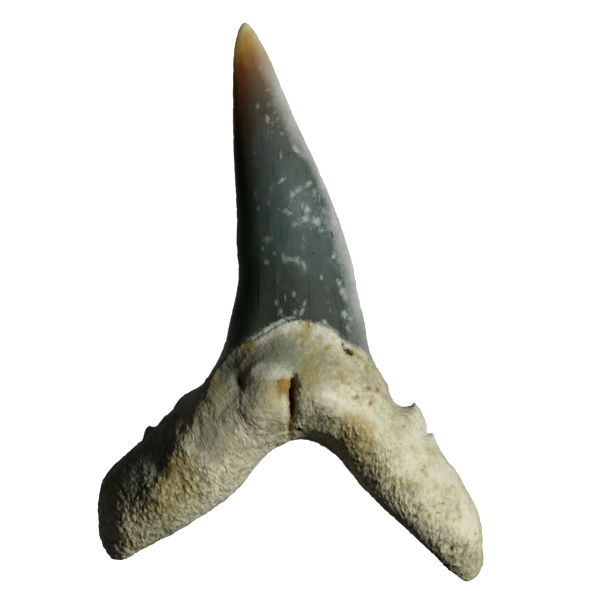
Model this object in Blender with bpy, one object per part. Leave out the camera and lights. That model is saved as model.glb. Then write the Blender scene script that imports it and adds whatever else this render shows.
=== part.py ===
"""A fossil shark tooth: one solid, a slender crown on a root of two spreading lobes.

The tooth lies on the plane Z = 0 on its labial (outer) face, with its lingual (inner) face up.
Its tip points towards +Y, its root towards -Y, and the origin is in the middle of its footprint.

The solid is a sheet of triangles that fills the tooth's outline, once for each face. Each sheet
is pushed out from the rim like a skin held along the outline and blown up, which makes round
root lobes and a crown whose two faces meet in cutting edges. Bosses, the nutrient groove, the
neck and the ledge under the right lobe are then shaped on that skin.

Every length below is in millimetres. MM turns it into metres where the mesh is made.
"""

import bpy
import numpy as np
from mathutils import Vector, noise
from mathutils.geometry import delaunay_2d_cdt

MM = 0.001

# Driving dimensions.
TOOTH_LENGTH = 32.0
# Rise of the crown's inner face over its edges, by half its width, at each y. The tip is flatter.
CROWN_LINGUAL_BULGE = [(-1.0, 0.77), (8.5, 0.77), (11.0, 0.69), (12.6, 0.55), (14.5, 0.42), (16.0, 0.4)]
CROWN_LABIAL_BULGE = 0.24  # the same for the outer face, which is flat all along
CROWN_SHARPNESS = 0.72  # 0.5 is an oval section, and 1 has the keenest edges
ROOT_LINGUAL_BULGE = 1.12  # rise of a lobe's inner face over its rim, by half its width
ROOT_LABIAL_BULGE = 0.98

# Fineness of the triangles: the gaps between points, and the rows that follow a line.
RIM_SPACING = 0.34
INSIDE_SPACING = 0.42
INSET_ROWS = ((0.09, 0.08), (0.29, 0.17), (0.58, 0.25))  # depth inside the rim, least gap
GROOVE_ROWS, GROOVE_SPACING = (0.0, 0.17, -0.17, 0.36, -0.36, 0.62, -0.62), 0.25
LEDGE_ROWS, LEDGE_SPACING = (-0.12, 0.14), 0.3

# The outline seen from the lingual side, from the tip down the left edge and round. Each
# stretch is a smooth curve that starts in the corner where the last one ends.
CROWN_LEFT_EDGE = [
    (-2.60, 16.00), (-2.86, 15.65), (-3.05, 15.05), (-3.19, 14.10), (-3.24, 12.65), (-3.24, 10.45),
    (-3.20, 8.65), (-3.08, 6.35), (-3.00, 4.65), (-3.02, 3.20), (-2.90, 1.50), (-3.03, 0.45),
    (-3.30, -0.70), (-3.55, -1.85), (-3.95, -3.05), (-4.55, -4.10), (-4.90, -4.65), (-5.40, -4.95),
    (-6.35, -5.60), (-6.60, -6.10), (-7.30, -6.70), (-7.50, -7.10),
]  # fmt: skip
LEFT_CUSPLET_TOP = [(-7.50, -7.10), (-7.75, -7.15), (-8.00, -7.05)]
LEFT_CUSPLET_SIDE = [(-8.00, -7.05), (-8.30, -7.40), (-8.32, -7.80), (-8.65, -8.05)]
LEFT_LOBE = [
    (-8.65, -8.05), (-9.35, -8.70), (-10.05, -9.35), (-10.60, -10.05), (-10.83, -10.80),
    (-10.95, -12.00), (-10.85, -13.25), (-10.50, -14.25), (-10.05, -14.70), (-9.50, -14.75),
    (-8.85, -14.40), (-7.85, -13.82), (-6.60, -13.17), (-5.15, -12.30), (-3.50, -11.17),
    (-2.56, -10.25), (-1.83, -9.32), (-1.22, -8.63), (-0.55, -8.20), (0.05, -7.97), (0.65, -7.85),
    (1.35, -7.97), (2.15, -8.38), (2.90, -9.00), (3.40, -9.70), (3.85, -10.25), (4.65, -11.10),
    (5.40, -11.85), (6.15, -12.50), (7.00, -13.30), (7.95, -14.20), (8.70, -14.95), (9.55, -15.70),
    (10.10, -16.00), (10.55, -15.80), (10.95, -15.20), (11.04, -13.95), (10.92, -12.55),
    (10.58, -11.60), (9.97, -10.45), (9.44, -9.55), (8.75, -8.70), (8.42, -8.10), (8.15, -7.45),
]  # fmt: skip
RIGHT_OUTER_CUSPLET = [(8.15, -7.45), (7.98, -7.55), (7.78, -7.50)]
RIGHT_STEP = [(7.78, -7.50), (7.82, -7.05), (7.58, -6.35), (7.12, -5.70)]
CROWN_RIGHT_EDGE = [
    (7.12, -5.70), (6.85, -5.92), (6.35, -5.98), (5.95, -5.70), (5.72, -5.30), (5.62, -4.75),
    (5.33, -4.25), (4.89, -3.55), (4.58, -2.85), (4.42, -2.10), (4.25, -1.10), (3.99, 0.00),
    (3.76, 1.05), (3.63, 1.90), (3.12, 3.65), (2.85, 4.50), (2.37, 5.75), (1.21, 8.45), (0.53, 9.85),
    (-0.56, 12.45), (-1.19, 13.95), (-1.72, 14.95), (-2.06, 15.50), (-2.33, 15.85), (-2.60, 16.00),
]  # fmt: skip
OUTLINE = (
    CROWN_LEFT_EDGE,
    LEFT_CUSPLET_TOP,
    LEFT_CUSPLET_SIDE,
    LEFT_LOBE,
    RIGHT_OUTER_CUSPLET,
    RIGHT_STEP,
    CROWN_RIGHT_EDGE,
)

# Height of the rim over the ground, as (x, y, height) round it. It is low at the tip, which bends
# out, and on the far sides of the lobes, and high round the arch between them.
RIM_HEIGHTS = [
    (-2.60, 16.00, 0.02), (-3.25, 14.10, 0.60), (-3.30, 10.45, 1.50), (-3.05, 3.20, 1.85),
    (-3.30, -0.70, 1.85), (-3.95, -3.05, 2.20), (-4.90, -4.65, 3.00), (-6.50, -6.00, 2.30),
    (-8.00, -7.05, 1.30), (-10.05, -9.35, 0.75), (-10.98, -12.00, 0.65), (-10.20, -14.60, 1.20),
    (-8.85, -14.35, 2.10), (-6.60, -13.15, 2.60), (-3.55, -11.10, 2.80), (-1.25, -8.60, 2.70),
    (0.65, -7.85, 2.60), (2.90, -9.00, 2.70), (5.40, -11.85, 2.90), (7.95, -14.20, 2.40),
    (9.90, -15.90, 1.50), (10.95, -15.20, 1.00), (11.00, -13.95, 0.90), (10.55, -11.60, 1.00),
    (9.00, -9.10, 1.20), (8.15, -7.45, 1.40), (7.10, -5.70, 1.50), (5.60, -4.90, 1.60),
    (4.50, -2.85, 1.75), (3.95, 0.00, 1.80), (3.08, 3.65, 1.85), (0.50, 9.85, 1.55),
    (-1.30, 13.95, 0.60),
]  # fmt: skip
# What the outer face keeps free over the ground, by y. Only the feet of the lobes reach lower.
CLEARANCE = [
    (-16.0, 0.4), (-12.0, 0.14), (-9.0, 0.3), (-5.5, 0.45), (-3.0, 0.3), (2.0, 0.25), (8.0, 0.2),
    (14.0, 0.08), (16.0, 0.0),
]  # fmt: skip

# Where the enamel ends on each face, from left to right.
LINGUAL_FOOT = [
    (-4.45, -4.1), (-3.5, -2.85), (-2.0, -1.95), (-0.8, -1.1), (0.5, -1.0), (1.8, -1.4),
    (3.7, -2.6), (4.6, -3.1),
]  # fmt: skip
LABIAL_FOOT = [(-8.3, -7.4), (-6.0, -5.9), (-3.0, -4.6), (0.3, -4.1), (3.2, -4.5), (5.8, -5.7), (8.1, -7.5)]
LABIAL_FOOT_STEP = 0.22  # how far the crown's foot stands over the root on the outer face

# Swellings of the root's inner face, as (x, y, reach across, reach along, height).
BOSSES = [
    (-1.35, -5.7, 1.5, 1.5, 1.1), (2.0, -5.4, 1.9, 1.45, 1.2), (4.3, -6.9, 1.7, 1.6, 0.4),
    (-4.2, -7.4, 1.7, 1.6, 0.25), (-4.75, -5.0, 1.15, 1.0, 1.0),
]  # fmt: skip

# Where the outer faces of the lobes swell down to the ground and lie flat on it.
FEET = [(-8.3, -11.3, 1.9, 1.7, 0.42), (8.5, -11.9, 1.8, 2.1, 0.55)]

# The neck under the enamel, a shallow trough that follows the inner foot.
NECK_DROP, NECK_DEPTH, NECK_REACH = 0.95, 0.32, 0.75

# The nutrient groove between the two bosses. It winds a little, is deep between them and shallow
# by the arch, and its left wall is the steeper one.
GROOVE = [
    (0.05, -3.9), (0.07, -4.5), (-0.01, -5.1), (0.06, -5.75), (-0.02, -6.4), (-0.13, -7.0),
    (-0.1, -7.6), (0.02, -8.3),
]  # fmt: skip
GROOVE_DEPTH = [(-8.4, 0.25), (-7.4, 0.3), (-6.8, 0.5), (-6.2, 0.95), (-4.9, 1.0), (-4.3, 0.6), (-3.9, 0.0)]
GROOVE_REACH_LEFT, GROOVE_REACH_RIGHT = 0.16, 0.27

# The ledge over the shaded lower face of the right lobe: the inner face ends at this line.
LEDGE = [
    (0.45, -7.30), (1.65, -7.38), (2.40, -7.68), (2.92, -8.15), (3.28, -8.80), (3.70, -9.50),
    (4.18, -10.15), (4.70, -10.85),
]  # fmt: skip
LEDGE_DROP = 0.58  # share of the height that is lost under the ledge
LEDGE_RUN = 0.42

# Hollow of the root's outer face between the crown's foot and the lobes.
LABIAL_HOLLOW = (0.4, -6.4, 3.2, 1.3, 0.5)

# Pits, as (x, y, reach, depth).
PITS = [(3.5, -2.95, 0.3, 0.4), (-2.85, -4.35, 0.42, 0.5), (9.05, -13.9, 0.28, 0.3)]

# Unevenness of the root.
LUMP_HEIGHT, LUMP_SIZE = 0.085, 1.25

CROWN_STARTS, CROWN_IS_WHOLE = -4.2, -0.6  # y between which root sections turn into crown sections
PRESSURE = 2.0  # under this, a long strip of skin rises to a half circle after the square root

ENAMEL_COLOUR, ENAMEL_ROUGHNESS = (0.055, 0.075, 0.075, 1.0), 0.3
ROOT_COLOUR, ROOT_ROUGHNESS = (0.42, 0.38, 0.26, 1.0), 0.85
SMOOTH_UNDER_ANGLE = 0.9


def smoothstep(low, high, value):
    """0 below low, 1 above high, and an even rise between them."""
    t = np.clip((value - low) / (high - low), 0, 1)
    return t * t * (3 - 2 * t)


def curve_through(points, spacing):
    """Points about spacing apart on the smooth curve that passes through the given points."""
    knots = np.array(points, float)
    chord = np.linalg.norm(np.diff(knots, axis=0), axis=1)[:, None]
    slope = np.diff(knots, axis=0) / chord
    tangent = np.vstack([slope[:1], slope[:1], slope[1:]])
    tangent[1:-1] = (slope[:-1] * chord[1:] + slope[1:] * chord[:-1]) / (chord[:-1] + chord[1:])
    t = np.linspace(0, 1, 24, endpoint=False)[:, None]
    fine = [
        (1 + 2 * t) * (1 - t) ** 2 * knots[i]
        + t * (1 - t) ** 2 * chord[i] * tangent[i]
        + t * t * (3 - 2 * t) * knots[i + 1]
        - t * t * (1 - t) * chord[i] * tangent[i + 1]
        for i in range(len(chord))
    ]
    fine = np.vstack([*fine, knots[-1:]])
    run = np.concatenate([[0], np.cumsum(np.linalg.norm(np.diff(fine, axis=0), axis=1))])
    even = np.linspace(0, run[-1], max(1, round(run[-1] / spacing)) + 1)
    return np.column_stack([np.interp(even, run, fine[:, k]) for k in range(2)])


def value_along(table, at):
    """The smooth curve through a table of (place, value), read at each place."""
    curve = curve_through(table, 0.05)
    return np.interp(at, curve[:, 0], curve[:, 1])


def at_most(value, limit):
    """The value held under a limit, with a soft bend as it comes near."""
    return value / (1 + (value / limit) ** 4) ** 0.25


def distance_to_line(points, line):
    """Each point's distance from a line of straight pieces."""
    start, piece = line[:-1], np.diff(line, axis=0)
    from_start = points[:, None, :] - start
    share = np.clip((from_start * piece).sum(2) / (piece**2).sum(1), 0, 1)
    return np.linalg.norm(from_start - share[..., None] * piece, axis=2).min(1)


def is_inside(points, loop):
    """Whether each point lies inside a closed loop."""
    x, y = points[:, :1], points[:, 1:]
    (x0, y0), (x1, y1) = loop.T, np.roll(loop, -1, axis=0).T
    crosses = (y0 > y) != (y1 > y)
    with np.errstate(divide="ignore", invalid="ignore"):
        right_of = x < x0 + (y - y0) / (y1 - y0) * (x1 - x0)
    return (crosses & right_of).sum(1) % 2 == 1


def rim_points():
    """The outline as a closed loop of points, scaled to the tooth's length and centred."""
    loop = np.vstack([curve_through(stretch, RIM_SPACING)[:-1] for stretch in OUTLINE])
    low, high = loop.min(0), loop.max(0)
    return (loop - (low + high) / 2) * TOOTH_LENGTH / (high[1] - low[1])


def beside(line, offset, spacing):
    """Points along a smooth line, moved sideways by an offset (to its left when positive)."""
    row = curve_through(line, spacing)
    ahead = np.gradient(row, axis=0)
    aside = np.column_stack([-ahead[:, 1], ahead[:, 0]])
    return row + offset * aside / np.linalg.norm(aside, axis=1)[:, None]


def inside_points(rim):
    """Points inside the rim: rows that follow the groove, the ledge and the rim, and a net."""
    outward = np.roll(rim, -1, axis=0) - np.roll(rim, 1, axis=0)
    inward = np.column_stack([-outward[:, 1], outward[:, 0]])
    inward /= np.linalg.norm(inward, axis=1)[:, None]
    low, high = rim.min(0), rim.max(0)
    across = np.arange(low[0], high[0], INSIDE_SPACING)
    along = np.arange(low[1], high[1], INSIDE_SPACING * np.sqrt(3) / 2)
    net = np.stack(np.meshgrid(across, along), axis=2)
    net[1::2, :, 0] += INSIDE_SPACING / 2

    batches = [(beside(GROOVE, offset, GROOVE_SPACING), 0.13) for offset in GROOVE_ROWS]
    batches += [(beside(LEDGE, offset, LEDGE_SPACING), 0.2) for offset in LEDGE_ROWS]
    batches += [(rim + inward * depth, gap) for depth, gap in INSET_ROWS]
    batches += [(net.reshape(-1, 2), 0.7 * INSIDE_SPACING)]
    kept = rim
    for batch, gap in batches:
        for point in batch[is_inside(batch, rim)]:
            if np.linalg.norm(kept - point, axis=1).min() > gap:
                kept = np.vstack([kept, point])
    return kept[len(rim) :]


def triangles_in(rim, inside):
    """The points and triangles of the outline's area, with no edge from rim to rim across it.

    Such an edge would be shared by both faces of the tooth, so it gets a point in its middle.
    """
    while True:
        points = np.vstack([rim, inside])
        found = delaunay_2d_cdt([Vector(p) for p in points], [], [list(range(len(rim)))], 1, 1e-6)
        triangles = np.array(found[2])
        edges = np.vstack([triangles[:, [0, 1]], triangles[:, [1, 2]], triangles[:, [2, 0]]])
        edges = np.sort(edges, axis=1)
        edges, times = np.unique(edges, axis=0, return_counts=True)
        across = edges[(times == 2) & (edges < len(rim)).all(1)]
        if not len(across):
            return points, triangles
        inside = np.vstack([inside, points[across].mean(1)])


def rim_heights(rim):
    """Height over the ground of each point of the rim, on a smooth closed curve."""
    run = np.concatenate([[0], np.cumsum(np.linalg.norm(np.diff(rim, axis=0), axis=1))])
    total = run[-1] + np.linalg.norm(rim[0] - rim[-1])
    known = np.array(RIM_HEIGHTS)
    nearest = [np.linalg.norm(rim - place, axis=1).argmin() for place in known[:, :2]]
    once = sorted(zip(run[nearest].tolist(), known[:, 2].tolist()))
    turns = [(at + turn * total, height) for turn in (-1, 0, 1) for at, height in once]
    return value_along(turns, run)


def held_skin(points, triangles, held_at, pressure):
    """Height of a skin that is held at heights along the rim and blown up, by finite elements."""
    count = len(points)
    pull, push = np.zeros((count, count)), np.zeros(count)
    for turn in range(3):
        i, j, k = np.roll(triangles, turn, axis=1).T
        to_i, to_j = points[i] - points[k], points[j] - points[k]
        doubled_area = np.abs(to_i[:, 0] * to_j[:, 1] - to_i[:, 1] * to_j[:, 0])
        half_cotangent = (to_i * to_j).sum(1) / doubled_area / 2
        for a, b, sign in ((i, j, -1), (j, i, -1), (i, i, 1), (j, j, 1)):
            np.add.at(pull, (a, b), sign * half_cotangent)
        np.add.at(push, k, pressure * doubled_area / 6)
    held = len(held_at)
    push -= pull[:, :held] @ held_at
    return np.concatenate([held_at, np.linalg.solve(pull[held:, held:], push[held:])])


def crown_half_width(y):
    """Half the distance between the crown's two edges at each height."""
    left, right = curve_through(CROWN_LEFT_EDGE, 0.1), curve_through(CROWN_RIGHT_EDGE, 0.1)
    left = np.interp(y, left[::-1, 1], left[::-1, 0])
    right = right[right[:, 1].argmin() :]
    return np.maximum((np.interp(y, right[:, 1], right[:, 0]) - left) / 2, 0.05)


def swelling(x, y, place):
    """A round rise: 1 in its middle and fading out over its reach."""
    return np.exp(-(((x - place[0]) / place[2]) ** 2) - ((y - place[1]) / place[3]) ** 2)


def groove_depth(points):
    """Depth of the nutrient groove at each point."""
    x, y = points.T
    line = np.array(GROOVE)
    is_right = x > np.interp(y, line[::-1, 1], line[::-1, 0])
    reach = np.where(is_right, GROOVE_REACH_RIGHT, GROOVE_REACH_LEFT)
    cut = np.exp(-((distance_to_line(points, line) / reach) ** 2))
    return cut * value_along(GROOVE_DEPTH, y)


def ledge_share(points):
    """0 on the lobes' inner face and 1 on the lower face beyond the ledge."""
    x, y = points.T
    beyond = np.where(y < value_along(LEDGE, x), distance_to_line(points, curve_through(LEDGE, 0.2)), 0)
    from_start = smoothstep(LEDGE[0][0] - 0.3, LEDGE[0][0] + 0.5, x)
    to_end = smoothstep(LEDGE[-1][0] + 0.6, LEDGE[-1][0] - 1.5, x)
    return smoothstep(0, LEDGE_RUN, beyond) * from_start * to_end


def lumps(points, height):
    """Unevenness of the root's surface at each place, in millimetres."""
    spots = np.column_stack([points, height]) / LUMP_SIZE
    return LUMP_HEIGHT * np.array([noise.fractal(spot, 0.9, 2.1, 3) for spot in spots])


def face_heights(points, base, rise):
    """Heights over the ground of the lingual face and the labial face at each point.

    The base is a skin that spans the rim, and the rise is how far it would be blown up.
    """
    x, y = points.T
    oval = np.sqrt(rise)
    width = crown_half_width(y)
    edged = width * np.clip(rise / width**2, 0, 1.2) ** CROWN_SHARPNESS
    crown = smoothstep(CROWN_STARTS, CROWN_IS_WHOLE, y)
    from_rim = smoothstep(0, 1.3, oval)

    lingual = (1 - crown) * ROOT_LINGUAL_BULGE * oval
    lingual += crown * value_along(CROWN_LINGUAL_BULGE, y) * edged
    for boss in BOSSES:
        lingual += boss[4] * from_rim * swelling(x, y, boss)
    below_foot = value_along(LINGUAL_FOOT, x) - NECK_DROP - y
    lingual -= NECK_DEPTH * from_rim * np.exp(-((below_foot / NECK_REACH) ** 2))
    lingual -= from_rim * groove_depth(points)
    lingual *= 1 - LEDGE_DROP * ledge_share(points)
    for px, py, reach, depth in PITS:
        lingual -= depth * from_rim * swelling(x, y, (px, py, reach, reach))

    labial = (1 - crown) * ROOT_LABIAL_BULGE * oval + crown * CROWN_LABIAL_BULGE * edged
    labial = at_most(labial, np.maximum(base - value_along(CLEARANCE, y), 0.01))
    labial -= LABIAL_HOLLOW[4] * from_rim * swelling(x, y, LABIAL_HOLLOW)
    for foot in FEET:
        labial += foot[4] * from_rim * swelling(x, y, foot)
    over_foot = y - value_along(LABIAL_FOOT, x)
    shoulder = smoothstep(-0.25, 0.25, over_foot) * smoothstep(6.0, 1.0, over_foot)
    labial += LABIAL_FOOT_STEP * from_rim * shoulder

    unevenness = (1 - crown) * from_rim
    lingual += unevenness * lumps(points, lingual)
    labial += unevenness * lumps(points, -labial)
    return base + lingual, np.maximum(base - labial, 0)


def material(name, colour, roughness):
    """A plain, non-metallic finish."""
    made = bpy.data.materials.new(name)
    made.use_nodes = True
    shader = made.node_tree.nodes["Principled BSDF"]
    shader.inputs["Base Color"].default_value = colour
    shader.inputs["Roughness"].default_value = roughness
    shader.inputs["Metallic"].default_value = 0.0
    return made


def is_enamel(x, y, is_lingual):
    """Whether a place on one of the two faces lies on the crown's enamel."""
    return y > np.interp(x, *np.array(LINGUAL_FOOT if is_lingual else LABIAL_FOOT).T)


def tooth_mesh():
    """The whole tooth as one closed mesh: the lingual sheet, then the labial sheet turned over."""
    rim = rim_points()
    points, triangles = triangles_in(rim, inside_points(rim))
    base = held_skin(points, triangles, rim_heights(rim), 0.0)
    rise = held_skin(points, triangles, np.zeros(len(rim)), PRESSURE)
    lingual, labial = face_heights(points, base, np.maximum(rise, 0))
    upper = np.column_stack([points, lingual])
    upper[: len(rim), 2] = base[: len(rim)]
    lower = np.column_stack([points, labial])[len(rim) :]
    lower_number = np.arange(len(points))
    lower_number[len(rim) :] += len(lower)
    faces = np.vstack([triangles, lower_number[triangles][:, ::-1]])

    mesh = bpy.data.meshes.new("shark_tooth")
    mesh.from_pydata((np.vstack([upper, lower]) * MM).tolist(), [], faces.tolist())
    mesh.materials.append(material("pale root", ROOT_COLOUR, ROOT_ROUGHNESS))
    mesh.materials.append(material("dark enamel", ENAMEL_COLOUR, ENAMEL_ROUGHNESS))
    middle = points[triangles].mean(1)
    for side, is_lingual in enumerate((True, False)):
        enamel = is_enamel(middle[:, 0], middle[:, 1], is_lingual)
        for number, on_enamel in enumerate(enamel, start=side * len(triangles)):
            mesh.polygons[number].material_index = int(on_enamel)
    mesh.shade_smooth()
    mesh.set_sharp_from_angle(angle=SMOOTH_UNDER_ANGLE)
    return mesh


def main():
    for obj in list(bpy.data.objects):
        bpy.data.objects.remove(obj)
    tooth = bpy.data.objects.new("shark_tooth", tooth_mesh())
    bpy.context.scene.collection.objects.link(tooth)


main()
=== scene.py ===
"""Looks of a fossil shark tooth that lies on its outer face, inner face up.

The tooth is one piece. Its surface is the solid of the frame, made finer and then worn: the root
gets swells, wrinkles, grain and pits, the crown gets fine lines, chips and a step where its enamel
ends. The places of stains, flecks and pits, and of painted light and shade, are kept on the mesh as
attributes, and one procedural material turns them into colour, gloss and fine relief.

Lengths are in millimetres, apart from what Blender's own tools are given in metres.
"""

import logging
import math
from collections.abc import Mapping, Sequence
from dataclasses import dataclass, field
from enum import Enum
from functools import partialmethod

import bpy
import numpy as np
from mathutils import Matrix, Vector, noise


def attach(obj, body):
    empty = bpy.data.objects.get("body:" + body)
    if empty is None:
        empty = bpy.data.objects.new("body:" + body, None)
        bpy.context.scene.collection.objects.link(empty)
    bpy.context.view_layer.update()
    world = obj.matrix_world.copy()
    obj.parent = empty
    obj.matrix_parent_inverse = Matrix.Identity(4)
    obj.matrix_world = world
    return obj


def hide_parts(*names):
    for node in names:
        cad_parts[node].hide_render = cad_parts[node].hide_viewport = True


MM = 0.001
NODE = "shark_tooth"
WRINKLE_LEAN = 25.0  # of the left lobe's wrinkles, to the left, in degrees
RIDGE_EDGE = 0.42  # noise at which a ridge has its full height
UP_FROM, UP_OVER = -0.4, 0.1  # Z of the normals between which the outer face turns into the inner one

Colour = tuple[float, float, float]
Points = Sequence[tuple[float, float]]
Range = tuple[float, float]  # where a soft change starts and ends
Stops = Sequence[tuple[float, Colour]]
Socket = bpy.types.NodeSocket

log = logging.getLogger("shark_tooth")


class Face(Enum):
    """The two faces of the tooth."""

    LINGUAL = "inner face, which lies up"
    LABIAL = "outer face, which lies down"


class Mark(Enum):
    """What is marked on the surface, from 0 to 1 where nothing else is said.

    Each value is the name of the mark's attribute.
    """

    ENAMEL = "enamel"  # distance past the enamel's end, positive on the crown
    EDGE = "edge"  # distance from the crown's right edge
    SIDE = "side"  # 0 at the crown's left edge and 1 at its right one
    UP = "up"  # 1 on the inner face and 0 on the outer one
    # the material darkens the hollows as painted shade and lightens the ridges as painted highlight
    GRAIN = "grain"  # below 0 in the hollows of the root's grain, above 0 on its ridges
    PIT = "pit"
    GROOVE = "groove"
    WORN = "worn"
    # partly the stone's cream tone and partly painted light that lifts shaded places
    CREAM = "cream"
    FLECK = "fleck"
    HAZE = "haze"  # where the enamel is clouded by small flecks
    SEAM = "seam"  # thin yellow streaks, on the crown and on the root
    BROWN = "brown"
    CRACK = "crack"  # distance from the nearest crack
    CRACK_SIDE = "crack_side"  # the same, below 0 on one side of the crack
    DARK_POINT = "dark_point"
    RUST = "rust"
    OCHRE = "ochre"
    # partly slate-grey patches and partly painted shade on places that lie in shade
    SLATE = "slate"
    # partly chalky patches and partly painted light and a painted highlight
    CHALK = "chalk"


@dataclass(frozen=True)
class Spot:
    """A soft oval mark on the inner face.

    Attributes:
        x: Place across the tooth.
        y: Place along the tooth.
        long: Half its length.
        wide: Half its width.
        strength: How marked its middle is: 1 in full, and below 0 for a hollow among swells.
        lean: Turn of its length from the tooth's length towards the left, in degrees.
    """

    x: float
    y: float
    long: float
    wide: float
    strength: float = 1.0
    lean: float = 0.0

    def strength_at(self, x: np.ndarray, y: np.ndarray) -> np.ndarray:
        """How marked each place is: the spot's strength in its middle, and nothing outside its oval."""
        turn = math.radians(self.lean)
        along = (y - self.y) * math.cos(turn) - (x - self.x) * math.sin(turn)
        across = (x - self.x) * math.cos(turn) + (y - self.y) * math.sin(turn)
        return self.strength * np.exp(-((along / self.long) ** 2) - (across / self.wide) ** 2)


def spots(*rows: tuple[float, ...]) -> tuple[Spot, ...]:
    """Spots from rows of numbers, each in the order of Spot's attributes."""
    return tuple(Spot(*row) for row in rows)


def smoothstep(low: float, high: float, value: np.ndarray) -> np.ndarray:
    """0 below low, 1 above high, and an even rise between them."""
    t = np.clip((value - low) / (high - low), 0, 1)
    return t * t * (3 - 2 * t)


def distance_to_line(x: np.ndarray, y: np.ndarray, line: Points) -> np.ndarray:
    """Distance of each place from a line of straight pieces, below 0 on the line's right side.

    Args:
        x: Places across the tooth.
        y: Places along the tooth.
        line: The line's corners.

    Returns:
        The distance from the nearest point of the line, with the sign of the side.
    """
    nearest = np.full(len(x), np.inf)
    for (x0, y0), (x1, y1) in zip(line, line[1:]):
        dx, dy = x1 - x0, y1 - y0
        share = np.clip(((x - x0) * dx + (y - y0) * dy) / (dx * dx + dy * dy), 0, 1)
        distance = np.hypot(x - x0 - share * dx, y - y0 - share * dy)
        side = np.where(dx * (y - y0) - dy * (x - x0) >= 0, 1, -1)
        nearest = np.where(distance < np.abs(nearest), side * distance, nearest)
    return nearest


@dataclass(frozen=True)
class Pattern:
    """A fractal noise that shapes the surface.

    Attributes:
        size: Size of its lumps along X, Y and Z.
        octaves: How many finer layers are added up.
        offset: Shift that sets it apart from the other patterns.
        smoothness: How fast the finer layers get weaker.
        step: How many times finer each layer is than the one before.
    """

    size: tuple[float, float, float]
    octaves: int
    offset: float
    smoothness: float = 0.85
    step: float = 2.1

    def at(self, places: np.ndarray) -> np.ndarray:
        """The noise, about -1 to 1, at each row of three coordinates."""
        moved = (places / np.array(self.size) + self.offset).tolist()
        return np.array([noise.fractal(Vector(at), self.smoothness, self.step, self.octaves) for at in moved])

    def ridges(self, places: np.ndarray) -> np.ndarray:
        """Winding creases with rounded ridges: 0 in a crease and about 1 on the back of a ridge."""
        return smoothstep(0.0, RIDGE_EDGE, np.abs(self.at(places)))


@dataclass
class Surface:
    """The finished mesh as arrays, in millimetres.

    Attributes:
        mesh: The mesh that is read and written.
        at: The place of each vertex, one row each.
        out: The normal of each vertex, one row each.
    """

    mesh: bpy.types.Mesh
    at: np.ndarray = field(init=False)
    out: np.ndarray = field(init=False)

    def __post_init__(self) -> None:
        """Reads the places and normals of the vertices."""
        count = len(self.mesh.vertices)
        self.at, self.out = np.empty(count * 3, np.float32), np.empty(count * 3, np.float32)
        self.mesh.vertices.foreach_get("co", self.at)
        self.mesh.vertices.foreach_get("normal", self.out)
        self.at = self.at.reshape(-1, 3).astype(float) / MM
        self.out = self.out.reshape(-1, 3).astype(float)

    def is_on(self, face: Face) -> np.ndarray:
        """Which vertices are on a face of the tooth."""
        return self.out[:, 2] >= 0 if face is Face.LINGUAL else self.out[:, 2] < 0

    def facing_up(self) -> np.ndarray:
        """1 on the inner face and 0 on the outer one, with a soft change round the sides."""
        return smoothstep(UP_FROM, UP_OVER, self.out[:, 2])

    def distance(self, line: Points) -> np.ndarray:
        """Distance of each vertex from a line, seen from above, with the sign of its side."""
        return distance_to_line(self.at[:, 0], self.at[:, 1], line)

    def total(self, marks: Sequence[Spot]) -> np.ndarray:
        """The strengths of a list of spots, added up at each vertex on both faces."""
        return sum(spot.strength_at(self.at[:, 0], self.at[:, 1]) for spot in marks)

    def marked(self, marks: Sequence[Spot]) -> np.ndarray:
        """How marked each vertex of the inner face is by a list of spots, from 0 to 1."""
        return np.clip(self.total(marks), 0, 1) * self.facing_up()

    def push_out(self, height: np.ndarray) -> None:
        """Moves each vertex along its normal, and keeps it off the ground's far side."""
        self.at += self.out * height[:, None]
        self.at[:, 2] = np.maximum(self.at[:, 2], 0)
        self.mesh.vertices.foreach_set("co", (self.at * MM).ravel().astype(np.float32))
        self.mesh.update()

    def keep(self, mark: Mark, value: np.ndarray) -> None:
        """Writes a mark on the mesh as an attribute."""
        layer = self.mesh.attributes.new(mark.value, "FLOAT", "POINT")
        layer.data.foreach_set("value", value.astype(np.float32))


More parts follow.
